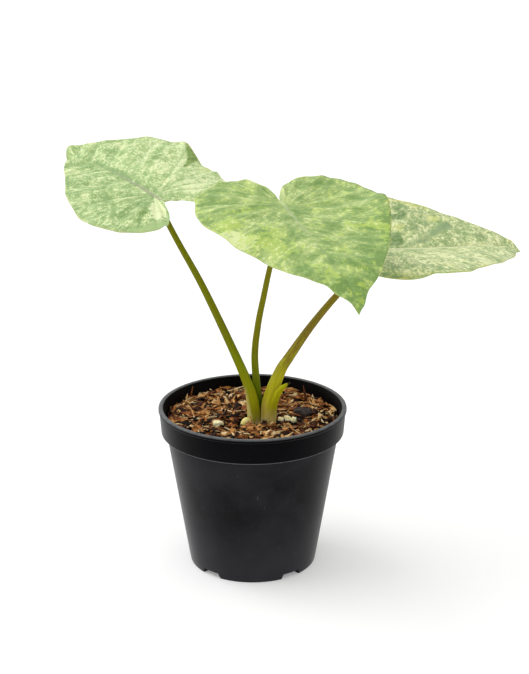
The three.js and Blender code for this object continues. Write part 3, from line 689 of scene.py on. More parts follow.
# %% Flakes: where they lie
SPREAD_GAP, TURN_GAP, END_GAP = 1.2, 0.8, 0.9  # from the mix's edge to middles and ends
WALL_SLACK = 0.1
WALL_FADE = 8.0
ANGLE_JITTER = 0.24
FOOT_SPOTS = np.array([  # x, y, radius: the stalks, the root, the lumps and the chip
    [1.0, -4.4, 5.0], [9.7, -6.0, 5.0], [5.3, 1.7, 3.2], [12.3, -7.5, 3.8], [-3.4, -10.4, 3.0],
    [-5.6, -13.6, 2.6], [-22.0, -16.5, 3.2], [17.9, -8.0, 2.2], [22.1, -8.2, 2.4], [26.0, -10.0, 2.4],
    [32.2, 2.5, 5.0],
])


def turn_matrix(yaw, tilt, roll):
    """Rotation matrices: roll about X, then tilt about Y, then yaw about Z."""
    (cy, ct, cr), (sy, st, sr) = np.cos([yaw, tilt, roll]), np.sin([yaw, tilt, roll])
    rows = [
        [cy * ct, cy * st * sr - sy * cr, cy * st * cr + sy * sr],
        [sy * ct, sy * st * sr + cy * cr, sy * st * cr - cy * sr],
        [-st, ct * sr, ct * cr],
    ]
    return np.moveaxis(np.array(rows), -1, 0)


def strewn(count, lengths):
    """Middle, turn and length of slips on the mix: spread by the golden angle, with each end
    off the wall, and without those whose middle line crosses one of the spots."""
    length = random.uniform(*lengths, count)
    order = np.arange(count) + 0.5
    radius = (mix_radius - SPREAD_GAP) * np.sqrt(order / count)
    angle = order * np.pi * (3 - np.sqrt(5)) + ANGLE_JITTER * random.normal(size=count)
    yaw = random.uniform(0, 2 * np.pi, count)
    tight = np.abs(np.cos(yaw - angle)) * length / 2 > mix_radius - TURN_GAP - radius
    yaw = np.where(tight, angle + np.pi / 2 + random.uniform(-0.25, 0.25, count), yaw)
    furthest = np.sqrt(np.maximum((mix_radius - END_GAP) ** 2 - (length / 2) ** 2, 0))
    radius = np.minimum(radius, furthest)
    x, y = radius * np.cos(angle), radius * np.sin(angle)
    reach = np.linspace(-0.5, 0.5, 7)[:, None] * length
    line_x, line_y = x + reach * np.cos(yaw), y + reach * np.sin(yaw)
    kept = np.all([np.hypot(line_x - fx, line_y - fy) > size for fx, fy, size in FOOT_SPOTS], axis=(0, 1))
    return x[kept], y[kept], yaw[kept], length[kept]


def laid(shape, turns, x, y, height):
    """Shapes about the origin turned and carried to their places, and pulled in where they
    would pass the wall."""
    place = np.stack([x, y, height], -1).reshape(len(x), *[1] * (shape.ndim - 2), 3)
    shape = np.einsum("nij,n...j->n...i", turns, shape) + place
    reach = np.hypot(shape[..., 0], shape[..., 1])
    shape[..., :2] *= np.minimum(1.0, (mix_radius + WALL_SLACK) / np.maximum(reach, 1e-6))[..., None]
    return shape


def flakes(name, count, lengths, widths, thicknesses, layers, tones, lean):
    """One piece with many flakes. layers are heights over the mix, tones are the mean and the
    spread of the tint, and lean is the spread of the tilt in radians."""
    x, y, yaw, length = strewn(count, lengths)
    column = (len(x), 1, 1)
    length = length.reshape(column)
    width = np.minimum(random.uniform(*widths, column), length * 0.6)
    thickness = random.uniform(*thicknesses, column)
    bend, curl = 0.16 * random.normal(size=column), 0.3 * random.normal(size=column)
    shape = flake_shape(length, width, thickness, bend, curl)
    tilt, roll = lean * random.normal(size=len(x)), 1.6 * lean * random.normal(size=len(x))
    wall_fade = smooth_step(mix_radius - np.hypot(x, y), 0.0, WALL_FADE)
    height = mix_mean(x, y) + random.uniform(*layers, len(x)) * (0.45 + 0.55 * wall_fade)
    tint = np.clip(tones[0] + tones[1] * random.normal(size=len(x)), 0.02, 0.98)
    s = np.linspace(-0.5, 0.5, ALONG)[:, None] * length
    t = np.linspace(-0.5, 0.5, ACROSS) * width
    grain = np.stack(np.broadcast_arrays(s, t), -1) + random.uniform(0, 90, (*column, 2))
    piece = make_piece(
        name, laid(shape, turn_matrix(yaw, tilt, roll), x, y, height),
        repeated(sheet_quads(ALONG, ACROSS), len(x)), [flake_bark],
        maps={"grain": np.stack([grain, grain], 1)},
        tints={"tint": np.repeat(tint, 2 * ALONG * ACROSS)})
    settle(piece, "bark_mix")

# %% Flakes: four kinds
flakes("mix_slips", 940, (4.5, 12.0), (1.3, 3.2), (0.3, 0.8), (-1.4, 1.5), (0.45, 0.35), 0.28)
flakes("mix_straws", 430, (6.0, 14.0), (0.7, 1.6), (0.3, 0.7), (-0.9, 1.9), (0.68, 0.24), 0.22)
flakes("mix_chips", 260, (6.0, 13.0), (2.8, 5.8), (0.6, 1.4), (-1.4, 1.4), (0.34, 0.3), 0.22)
flakes("mix_crumbs", 700, (1.8, 4.6), (0.7, 1.8), (0.4, 1.0), (-1.1, 1.0), (0.5, 0.32), 0.35)

# %% [markdown]
# Between the flakes run coir fibres: fine bent threads, half buried. Each is a triangle carried
# along an arc. Like the flakes they keep clear of the stalks, the root and the loose lumps.

# %% Fibres
FIBRE_STEPS = 6
FIBRE_COUNT = 420
FIBRE_LENGTHS = (5.0, 14.0)
FIBRE_RADIUS = 0.14

x, y, yaw, length = strewn(FIBRE_COUNT, FIBRE_LENGTHS)
kept = len(x)
s = np.linspace(-1, 1, FIBRE_STEPS)[None, :, None]
side = np.array([0, 2, 4]) * np.pi / 3
radius = FIBRE_RADIUS * random.uniform(0.6, 1.3, (kept, 1, 1)) * (1 - 0.6 * s ** 4)
bow = random.normal(size=(kept, 1, 1)) * 0.28
hump = random.normal(size=(kept, 1, 1)) * 0.1
half = length[:, None, None] / 2
threads = np.stack([
    s * half * (1 - 0.12 * bow ** 2) + 0 * side,
    bow * half * (1 - s ** 2) + radius * np.cos(side),
    hump * half * (1 - s ** 2) + radius * np.sin(side)], -1)
turns = turn_matrix(yaw, 0.1 * random.normal(size=kept), np.zeros(kept))
threads = laid(threads, turns, x, y, mix_mean(x, y) + random.uniform(-0.2, 1.3, kept))
last = 3 * (FIBRE_STEPS - 1)
thread_quads = np.vstack([
    grid_quads(FIBRE_STEPS, 3, ring=True), [[2, 1, 0, 0], [last, last + 1, last + 2, last + 2]]])
tint = np.repeat(np.clip(0.56 + 0.18 * random.normal(size=kept), 0.1, 0.95), 3 * FIBRE_STEPS)
fibres = make_piece(
    "coir_fibres", threads, repeated(thread_quads, kept), [flake_bark],
    maps={"grain": np.zeros((len(tint), 2))}, tints={"tint": tint})
settle(fibres, "bark_mix")

# %% [markdown]
# ## Stalks, roots and sheaths
# A stalk is an ellipse carried along a curve through a few stations, each a place and two half
# widths. Its ring of points stands square to the curve. A groove runs up the inner side, deep at
# the sheathing foot and gone near the blade. Most stations were picked by hand as pixels of the
# photograph, and a separate program turned them into millimetres through the camera.

# %% Stems
GROOVE_HALF_ANGLE = 0.42


def stem_grid(stations, across, steps, sides, groove=(0, 0.0, 0.0)):
    """Points [step, side, xyz] and the map (along, round) of an ellipse on a curve. groove is
    the angle of its groove and its depth at foot and head, as parts of the half width."""
    stations = np.asarray(stations, float)
    u = np.linspace(0, 1, steps)
    path = spline(stations[:, :3], u)
    size = spline(stations[:, 3:5], u)
    along = np.gradient(path, axis=0)
    along /= np.linalg.norm(along, axis=1, keepdims=True)
    wide = np.asarray(across, float) - along * (along @ np.asarray(across, float))[:, None]
    wide /= np.linalg.norm(wide, axis=1, keepdims=True)
    deep = np.cross(along, wide)
    angle = np.linspace(0, 2 * np.pi, sides, endpoint=False)
    where, at_foot, at_head = groove
    depth = at_foot + (at_head - at_foot) * smooth_step(u, 0.1, 0.75)
    off = (angle - np.radians(where) + np.pi) % (2 * np.pi) - np.pi
    factor = 1 - depth[:, None] * np.exp(-(off / GROOVE_HALF_ANGLE) ** 2)
    x = size[:, :1] * np.cos(angle) * factor
    y = size[:, 1:2] * np.sin(angle) * factor
    points = path[:, None] + x[..., None] * wide[:, None] + y[..., None] * deep[:, None]
    length = np.concatenate([[0], np.cumsum(np.linalg.norm(np.diff(path, axis=0), axis=1))])
    return points, np.stack(np.broadcast_arrays(length[:, None], angle[None] * 2), -1)


def stem_piece(name, grids, finish, map_name="stem", tints=None):
    """One piece from several tubes, each closed by a row gathered at the middle of each end,
    with a map: millimetres along, and round."""
    points, quads, places, start = [], [], [], 0
    for grid, place in grids:
        rows, sides = len(grid) + 2, grid.shape[1]
        first, last = (np.repeat(row.mean(1, keepdims=True), sides, 1) for row in (grid[:1], grid[-1:]))
        quads.append(grid_quads(rows, sides, ring=True, start=start))
        start += rows * sides
        points.append(np.concatenate([first, grid, last]).reshape(-1, 3))
        places.append(np.concatenate([place[:1], place, place[-1:]]).reshape(-1, 2))
    maps = {map_name: np.vstack(places)}
    return make_piece(name, np.vstack(points), np.vstack(quads), [finish], maps, tints)

# %% [markdown]
# The stalks are olive green, darker where they are round and firm, and turn lime and then cream
# towards the foot. The right one has a mauve brown flush half way up. Fine ribs run along them.

# %% Stalk finish
def flesh(weight):
    """The part of light that goes through a living surface, by about two millimetres."""
    return dict(Subsurface_Weight=weight, Subsurface_Scale=0.002)


def stalk_finish(name, stops, flush=None, flush_heights=None, pale_left_of=None):
    """Living stalk: colour by height above the mix, from 0 at 94 mm to 1 at 150 mm, mottled and
    streaked along the stem, with fine ribs. A flush is a second colour between two heights.
    Near the foot the side left of pale_left_of, in metres, is cream, as under a split sheath."""
    finish = Finish(name, Specular_IOR_Level=0.06, **flesh(0.04))
    stem = finish.drawn("stem")
    height = finish.here().part("Z")
    mottle = finish.noise(finish.stretch(stem, 0.05, 0.35), 2.2, 5.0, 0.6)
    level = (height + (mottle - 0.5) * 0.02 - 0.094) / 0.056
    tone = finish.ramp(level.clip(), *stops)
    if flush:
        low, high = flush_heights
        zone = height.rise(low, low + 0.02) * (1.0 - height.rise(high, high + 0.05))
        tone = finish.mix(zone * mottle.rise(0.35, 0.6) * 0.8, tone, flush)
    streaks = finish.noise(finish.stretch(stem, 0.03, 1.6), 2.0, 4.0, 0.6)
    tone = finish.mix(streaks.rise(0.45, 0.7) * 0.35, tone, "3f4a08")
    if pale_left_of is not None:
        across = finish.here().part("X") + (height - 0.098) * 0.16 + (mottle - 0.5) * 0.003
        left_side = 1.0 - across.rise(pale_left_of - 0.0008, pale_left_of + 0.0008)
        low_down = 1.0 - height.rise(0.103, 0.124)
        tone = finish.mix(left_side * low_down * (streaks * 0.5 + 0.5), tone, "e2cf84")
    specks = finish.noise(finish.stretch(stem, 0.5, 1.2), 4.0, 2.0).rise(0.62, 0.72)
    tone = finish.mix(specks * 0.25, tone, "e0da9a")
    ribs = finish.noise(finish.stretch(stem, 0.012, 2.6), 3.0, 2.0)
    return finish.made(tone, 0.36 + mottle * 0.2, ribs, 0.00035)

# %% Stalks
STEM_STEPS, STEM_SIDES = 150, 36
STALKS = {  # stations, direction across, groove
    "right": ([
        [9.6, -6.4, 86, 3.9, 4.5], [9.7, -6.2, 98, 3.9, 4.6], [10.7, -4.0, 110, 3.8, 4.5],
        [17.2, 0.6, 127, 3.2, 3.7], [23.1, 3.4, 136, 2.9, 3.2], [37.7, 9.8, 155.6, 2.4, 2.5],
        [54.8, 16.4, 174.6, 2.1, 2.1], [71.5, 21.6, 189.0, 1.9, 1.9], [86.6, 25.9, 200.4, 1.9, 1.9],
    ], (0, 1, 0), (120, 0.3, 0.02)),
    "left": ([
        [1.2, -4.6, 86, 4.3, 3.5], [1.0, -4.5, 98, 4.3, 3.5], [-0.2, -3.6, 110, 3.8, 3.4],
        [-2.8, -2.7, 120, 3.2, 3.1], [-11.6, -0.6, 141, 2.7, 2.7], [-30.8, 3.6, 182.4, 2.2, 2.2],
        [-46.7, 6.7, 211.9, 1.9, 1.9], [-60.0, 9.8, 237.9, 1.8, 1.8],
    ], (1, 0, 0), (45, 0.3, 0.02)),
    "middle": ([
        [5.6, 1.9, 86, 2.6, 2.6], [5.3, 1.7, 98, 2.6, 2.6], [3.5, 0.0, 111, 2.5, 2.5],
        [1.5, -4.7, 139, 2.2, 2.2], [3.6, -9.2, 161.8, 2.0, 2.0], [7.3, -13.5, 182.4, 1.85, 1.85],
        [11.4, -18.2, 203.4, 1.7, 1.7], [19.8, -26.2, 240.4, 1.65, 1.65],
    ], (1, 0, 0), (250, 0.25, 0.05)),
}
STALK_LOOKS = {  # the tones from foot to head, and what one stalk has of its own
    "right": (((0.0, "dcc890"), (0.1, "c6ae66"), (0.2, "bdab40"), (0.33, "c2b822"), (0.55, "c0b822"),
               (1.0, "857914")), dict(flush="836a2e", flush_heights=(0.122, 0.150))),
    "left": (((0.0, "a39a3c"), (0.12, "959016"), (0.3, "a09c0a"), (0.7, "868f02"), (1.0, "787a02")),
             dict(pale_left_of=-0.0002)),
    "middle": (((0.0, "455806"), (0.25, "566c04"), (0.6, "76800a"), (1.0, "7a7807")), {}),
}
for side, (stations, across, groove) in STALKS.items():
    tones, own = STALK_LOOKS[side]
    grid = stem_grid(stations, across, STEM_STEPS, STEM_SIDES, groove)
    stalk = stem_piece("stalk_" + side, [grid], stalk_finish("stalk_" + side, tones, **own))
    settle(stalk, "stalk", "petiole_" + side)

# %% [markdown]
# Three slivers of bark stand up out of the mix near its edge. Each is a short stem that narrows
# to its head, flatter than it is wide, in the finish of the flakes.

# %% Standing slivers
STANDING_SLIVERS = [  # foot, head, half width, tint
    ([-42.2, 36, 94], [-39.8, 39, 103.5], 0.7, 0.5), ([35.6, 27, 94], [33, 31, 107], 0.9, 0.36),
    ([-21.6, 20, 95], [-22.8, 20.5, 103], 1.3, 0.8),
]
SLIVER_STEPS, SLIVER_SIDES = 14, 8
SLIVER_TAPER = np.array([1.0, 0.95, 0.9, 0.7, 0.25])[:, None]
slivers = []
for foot, head, half, _ in STANDING_SLIVERS:
    middle = np.array(foot) + (np.array(head) - foot) * np.linspace(0, 1, len(SLIVER_TAPER))[:, None]
    stations = np.hstack([middle, half * SLIVER_TAPER, 0.6 * half * SLIVER_TAPER])
    slivers.append(stem_grid(stations, (1, 0, 0), SLIVER_STEPS, SLIVER_SIDES))
sliver_tints = np.repeat([tint for *_, tint in STANDING_SLIVERS], (SLIVER_STEPS + 2) * SLIVER_SIDES)
standing = stem_piece("standing_slivers", slivers, flake_bark, "grain", {"tint": sliver_tints})
settle(standing, "bark_mix")

# %% [markdown]
# The young sheath is a short pointed hood beside the right stalk, bright lime with a dark dried
# tip. The pale root that arches over the mix belongs to the corm, which is otherwise hidden.

# %% Young sheath and corm
YOUNG_SHEATH = [
    [12.8, -6.9, 86, 3.2, 2.9], [12.3, -7.5, 100, 3.3, 2.9], [13.9, -8.1, 111, 3.0, 2.6],
    [17.9, -8.2, 118.8, 2.0, 1.9], [23.8, -8.0, 123.2, 0.5, 0.5],
]


def sheath_finish():
    """Lime green hood, cream at its foot, with a dark dry tip."""
    finish = Finish("young_sheath", Specular_IOR_Level=0.08, **flesh(0.06))
    place = finish.here()
    streaks = finish.noise(finish.stretch(finish.drawn("stem"), 0.06, 1.1), 2.5, 4.0)
    level = (place.part("Z") + (streaks - 0.5) * 0.006).rise(0.094, 0.124)
    tone = finish.ramp(level, (0.0, "c2ae70"), (0.2, "b0a24a"), (0.42, "a49c14"), (0.9, "b0ac0a"))
    tip = (place.part("X") + (streaks - 0.5) * 0.002).rise(0.0212, 0.0226)
    return finish.made(finish.mix(tip, tone, "2f2a12"), 0.36 + streaks * 0.2, streaks, 0.0003)


hood = stem_grid(YOUNG_SHEATH, (0, 1, 0), 70, 30, (200, 0.2, 0.3))
settle(stem_piece("young_hood", [hood], sheath_finish()), "stalk", "young_sheath")

CORM_PROFILE = rounded([[0, 58, 0], [7, 58.6, 2], [12.2, 70, 4], [12.5, 80, 4], [8, 89.5, 2], [0, 90, 0]])
CORM_SEGMENTS = 48
CORM_ROOTS = 5
VISIBLE_ROOT = [
    [-0.5, -6.0, 86, 1.6, 1.6], [-2.6, -8.7, 96.4, 2.0, 2.0], [-4.2, -11.2, 98.6, 2.1, 2.1],
    [-6.0, -13.6, 96.8, 1.7, 1.7], [-8.4, -16.0, 88.0, 0.8, 0.8],
]


def hidden_root(number):
    """A root that leaves the corm sideways and bends down, thinner towards its end."""
    angle = 2 * np.pi * (number + 0.2) / CORM_ROOTS
    out = np.array([0.25, 0.6, 0.85, 1.0]) * (28 + 3 * (number % 3))
    sway = angle + 0.2 * out / 28 * (1 if number % 2 else -1)
    x = FOOT_CENTRE[0] + out * np.cos(sway)
    y = FOOT_CENTRE[1] + out * np.sin(sway)
    z, radius = 72 - np.array([0.0, 6.0, 18.0, 34.0]), [1.5, 1.5, 1.2, 0.7]
    return stem_grid(np.stack([x, y, z, radius, radius], 1), (0, 0, 1), 30, 12)


corm_points = turned(CORM_PROFILE, CORM_SEGMENTS) + np.array([*FOOT_CENTRE, 0.0])
corm_grids = [
    (corm_points, np.zeros_like(corm_points[..., :2])), stem_grid(VISIBLE_ROOT, (0, 1, 0), 60, 24),
    *[hidden_root(number) for number in range(CORM_ROOTS)]]
root_cream = cloudy(
    "root_cream", (260.0, 4.0), 0.0003, ((0.3, "d9bf50"), (0.5, "f7e58e"), (0.7, "fff3c4")),
    gloss=(0.4, 0.25), Specular_IOR_Level=0.4, **flesh(0.1))
settle(stem_piece("corm_and_roots", corm_grids, root_cream), "root", "corm")

# %% [markdown]
# Old sheaths dry to pale brown paper and stay round the foot. This one is a curved band, thin,
# torn along its top, with an upright grain.

# %% Dry sheath
DRY_CENTRE = (8.0, -5.4)
DRY_RADIUS = 8.6
DRY_SPAN = (-152.0, -62.0)
DRY_HEIGHTS = (93.0, 99.5)
DRY_THICKNESS = 0.5
DRY_ROWS, DRY_COLUMNS = 16, 70


def dry_band():
    """Outer and inner grids of the band: an arc whose top follows sharp random teeth and
    whose face buckles in and out by a part of a millimetre."""
    u = np.linspace(0, 1, DRY_COLUMNS)
    v = np.linspace(0, 1, DRY_ROWS)[:, None]
    angle = np.radians(DRY_SPAN[0] + (DRY_SPAN[1] - DRY_SPAN[0]) * u)
    teeth = 1.9 * (np.sin(u * 27) + 0.6 * np.sin(u * 61 + 1)) + 0.8 * random.normal(size=DRY_COLUMNS)
    taper = np.sin(np.pi * (0.05 + 0.9 * u)) ** 0.5
    z = DRY_HEIGHTS[0] + (DRY_HEIGHTS[1] - DRY_HEIGHTS[0] + teeth) * taper * v
    buckle = 0.35 * np.sin(14 * u + 2 * v) + 0.9 * v ** 2 * np.sin(7 * u + 1)
    radii = [DRY_RADIUS + buckle + depth * (1 - 0.6 * v) for depth in (DRY_THICKNESS, 0.0)]
    return np.array([np.stack([
        DRY_CENTRE[0] + radius * np.cos(angle), DRY_CENTRE[1] + radius * np.sin(angle), z], -1)
        for radius in radii])


paper = cloudy(
    "dry_sheath", (900.0,), 0.0003,
    ((0.3, "6a5034"), (0.46, "a48e58"), (0.62, "cdbb84"), (0.8, "e4d6a8")),
    upright=0.15, Specular_IOR_Level=0.3, Roughness=0.75)
dry_sheath = make_piece("dry_paper", dry_band(), sheet_quads(DRY_ROWS, DRY_COLUMNS), [paper])
settle(dry_sheath, "dry_sheath", "dry_sheath")

# %% [markdown]
# ## Lumps and the dark chip
# The pale lumps are crumbs of light mineral: low balls pushed in and out by waves. The dark chip
# is made the same way, a thick, flat and squared-off lump of bark.

# %% Lumps
BALL_ROWS, BALL_SEGMENTS = 36, 56
BALL_WAVES = 26


def rough_ball(at, half, turn, roughness, power):
    """A ball with its poles up and down, squared off by a power, with waves on its surface."""
    polar = np.linspace(0, np.pi, BALL_ROWS)
    unit = turned(np.stack([np.sin(polar), np.cos(polar)], 1), BALL_SEGMENTS)
    waves = 0.0
    for _ in range(BALL_WAVES):
        direction = random.normal(size=3)
        waves += np.sin(unit @ direction * random.uniform(2, 7) + random.uniform(0, 6.3))
    shaped = np.sign(unit) * np.abs(unit) ** power
    shaped = shaped * (1 + roughness * waves / np.sqrt(BALL_WAVES / 2))[..., None]
    shaped[0], shaped[-1] = shaped[0].mean(0), shaped[-1].mean(0)
    x, y, z = (shaped * half).transpose(2, 0, 1)
    c, s = np.cos(np.radians(turn)), np.sin(np.radians(turn))
    return np.stack([c * x - s * y, s * x + c * y, z], -1) + np.array(at)


def lump(name, node, slot, finish, *form):
    """One lump of that form, which stands for its node."""
    ball = make_piece(name, rough_ball(*form), grid_quads(BALL_ROWS, BALL_SEGMENTS, ring=True), [finish])
    settle(ball, slot, node)


PALE_LUMPS = [  # node, place, half sizes, turn in degrees
    ("pale_lump_1", [-22, -15.5, 97.9], [3.0, 2.3, 1.9], 15),
    ("pale_lump_2", [17.9, -7.4, 98.1], [1.9, 1.5, 1.2], -20),
    ("pale_lump_3", [22.1, -7.5, 98.4], [1.9, 1.9, 1.7], 10),
    ("pale_lump_4", [26.0, -9.2, 98.4], [1.9, 1.7, 1.8], 40),
]
pale = cloudy(
    "pale_crumb", (420.0, 6.0, 0.7), 0.0003, ((0.3, "e0bd74"), (0.45, "ffeeb4"), (0.6, "fffbe0")),
    Roughness=0.85, Specular_IOR_Level=0.3)
for node, *form in PALE_LUMPS:
    lump(node + "_crumb", node, "pale_lump", pale, *form, 0.15, 0.7)

dark = cloudy(
    "dark_bark", (260.0, 6.0, 0.7), 0.0012,
    ((0.3, "120d0e"), (0.5, "2e2628"), (0.66, "5b4b47"), (0.8, "8a6c56")),
    Roughness=0.85, Specular_IOR_Level=0.3)
lump("dark_bark_chip", "bark_chip", "bark", dark, [32.2, 3.5, 98.6], [5.6, 4.2, 2.2], -12, 0.07, 0.55)

# %% [markdown]
# ## Leaf blades
# A blade starts flat: a heart whose half outline is a spline. A line of the grid runs from the
# midrib out to the margin, as a side vein does, and those behind the stalk fan out from where it
# joins. The flat point is then carried into space: the midrib bends and twists along its length,
# and each half leaves it at a fold angle and rolls on an arc, with a wave near the margin.
# The values of the forms were not chosen by hand: a separate search changed them until the
# outline seen by the camera lay on the one in the photograph, and they were then rounded.

# %% Blades: sizes
SIDES = ("left", "middle", "right")
FORMS = dict(  # for each side, and in the inner lists for each half: left of the midrib, right of it
    junction=([-60.6, 10.0, 239.6], [20.0, -26.5, 241.3], [87.0, 26.0, 201.1]),
    length=(95.3, 113.0, 106.1),
    half_width=([48.4, 52.2], [59.0, 53.9], [60.5, 59.2]),
    fullness=([1.03, 1.03], [1.05, 1.0], [1.07, 1.11]),
    lobe=([1.03, 0.78], [0.83, 0.98], [1.1, 0.96]),
    heading=(129.2, -67.7, 24.2),
    turn=(4.8, 0.0, 8.9),
    pitch=(11.5, -14.3, -5.6),
    sag=(-8.5, 7.2, 1.3),
    hook=(-80.8, -52.5, -18.6),
    hook_from=(0.82, 0.56, 0.56),
    back=(8.9, -5.6, -2.3),
    roll=(-6.7, -5.8, 10.1),
    twist=(-16.5, 12.5, 4.0),
    fold=([3.5, 20.8], [-2.8, 0.6], [13.2, 14.9]),
    curl=([-11.7, -37.1], [21.9, -17.2], [-3.2, -9.1]),
    lobe_fold=([-14.8, 3.6], [4.3, -15.5], [5.8, -8.7]),
    wave=(-2.9, 2.1, 0.7),
    waves=(1.54, 1.54, 1.47),
    phase=([44.1, 78.1], [-8.9, -69.9], [-35.4, -24.7]),
    margin=(
        [[0, 0.2, 2.3, 3.1, 2.2, 0, -0.4, -0.8, -1.3, -0.2, -0.1, 0.3, 0.1, 1.1, 1.9, 0],
         [0, 4.8, 1.8, 0.9, 1.1, 1.1, 2.0, 0.2, -1.5, -0.9, -1.8, -1.7, 0.1, 1.3, 0.5, 0]],
        [[0, -2.4, -2.6, -0.3, 0.6, 0.2, 0.0, -0.8, -1.3, 0],
         [0, 0.7, -0.3, 1.1, 0.9, -0.1, -0.8, 0.7, 2.6, 0]],
        [[0, 1.7, -0.4, -0.4, 0.4, 0.5, 0.1, 0.0, -0.2, 0],
         [0, -1.7, -1.4, 0.6, -0.9, -1.2, 0.3, 0.5, 0.3, 0]]),
    edge=(  # in thousandths
        [[0, 24, 26, 10, -2, 15, 5, 9, -22, -59, -75, -43, 10, -41, -45, 0],
         [0, 32, 31, 51, 64, 88, -45, -67, -22, 38, 58, 42, 38, 74, 83, 0]],
        [[0, 5, 24, 10, 30, 18, 4, 8, 13, 0], [0, -6, 4, 0, 0, -10, 0, -1, 10, 0]],
        [[0, 3, 3, 10, 13, 7, 0, -6, -4, 0], [0, 5, 4, 1, 16, 9, -12, -17, -10, 0]]),
)
OUTLINE = [
    [1.0, 0.0], [0.9, 0.11], [0.74, 0.36], [0.5, 0.7], [0.2, 0.95], [-0.1, 0.98], [-0.32, 0.78],
    [-0.4, 0.48], [-0.33, 0.22], [-0.18, 0.07], [-0.07, 0.0],
]
SINUS = 0.07
LOBE_REACH = 0.4
VEIN_SWEEP = 0.55
HANDS = (1, -1)


def by_side(table):
    """One record for each side from a table whose every row has a value for each side."""
    return {
        side: SimpleNamespace(**{key: values[number] for key, values in table.items()})
        for number, side in enumerate(SIDES)}


blades = by_side(FORMS)

# %% Blades: the flat heart
def margin_values(values, a):
    """A list of values at even steps round the margin, from tip to sinus, joined by a spline."""
    knots = np.stack([np.arange(len(values)), values], 1)
    return spline(knots, a, mirrored_ends=False)[:, 1]


def flat_half(blade, half, a, b):
    """Flat x and y at margin place a (0 tip, 1 sinus) and b across (0 midrib, 1 margin). The
    line's root on the midrib lies back from its margin point by the vein's sweep."""
    x, y = spline(OUTLINE, a, mirrored_ends=False).T
    pull = 1 + (blade.fullness[half] - 1) * np.clip(2 * x, 0, 1)
    side = np.maximum(y, 0) ** (1 / pull) * blade.half_width[half]
    root = np.maximum(x * blade.length - VEIN_SWEEP * y * np.mean(blade.half_width), 0)
    reach = np.where(x < -SINUS, (x + SINUS) * blade.lobe[half] - SINUS, x) * blade.length
    scale = (1 + margin_values(blade.edge[half], a) / 1000)[:, None] * b
    return root[:, None] + (reach - root)[:, None] * scale, side[:, None] * scale

# %% Blades: from flat to space
def blade_angles(blade, x):
    """Heading, pitch and roll of the midrib at flat x, in radians."""
    u = x / blade.length
    late = np.maximum(u - blade.hook_from, 0) / (1 - blade.hook_from)
    droop = np.where(u > 0, blade.sag * u + blade.hook * late ** 1.5, blade.back * u)
    return np.radians([blade.heading + blade.turn * u, blade.pitch + droop, blade.roll + blade.twist * u])


def along_midrib(heading, pitch):
    """Unit vector of the midrib."""
    level = np.cos(pitch)
    return np.stack([level * np.cos(heading), level * np.sin(heading), np.sin(pitch)], -1)


def blade_points(blade, half, x, y, lift):
    """Points in space of flat x and y on one half, raised along the surface's own normal."""
    steps = np.linspace(-0.6, 1.0, 241) * blade.length
    run = along_midrib(*blade_angles(blade, steps)[:2])
    path = np.concatenate([[np.zeros(3)], np.cumsum((run[1:] + run[:-1]) / 2, 0) * (steps[1] - steps[0])])
    path = path - [np.interp(0, steps, path[:, k]) for k in range(3)]
    middle = np.stack([np.interp(x, steps, path[:, k]) for k in range(3)], -1)
    heading, pitch, roll = blade_angles(blade, x)
    level = np.stack([-np.sin(heading), np.cos(heading), 0 * heading], -1)
    up = np.cross(along_midrib(heading, pitch), level)
    cos_roll, sin_roll = np.cos(roll)[..., None], np.sin(roll)[..., None]
    side = cos_roll * level + sin_roll * up
    normal = cos_roll * up - sin_roll * level
    width = blade.half_width[half]
    in_lobe = np.clip(-x / (LOBE_REACH * blade.length), 0, 1)
    fold = np.radians(blade.fold[half] + blade.lobe_fold[half] * in_lobe)
    bend = np.radians(blade.curl[half]) / width + 1e-7
    out = (np.sin(fold + bend * y) - np.sin(fold)) / bend
    rise = (np.cos(fold) - np.cos(fold + bend * y)) / bend
    turns = np.radians(blade.phase[half]) + blade.waves * 2 * np.pi * x / blade.length
    rise = rise + blade.wave * (y / width) ** 2 * np.sin(turns) + lift
    return middle + HANDS[half] * side * out[..., None] + normal * rise[..., None] + blade.junction

# %% [markdown]
# Between two side veins the blade swells a little, and over a vein it dips, so light falls on it
# in soft bands. The distance to the nearest vein is worked out on the flat heart in millimetres.
# Beneath, the midrib and the veins stand out as ridges. Most kinks of the margin came from a
# second search, which set one at a time where the outline was still off. Some were then changed.

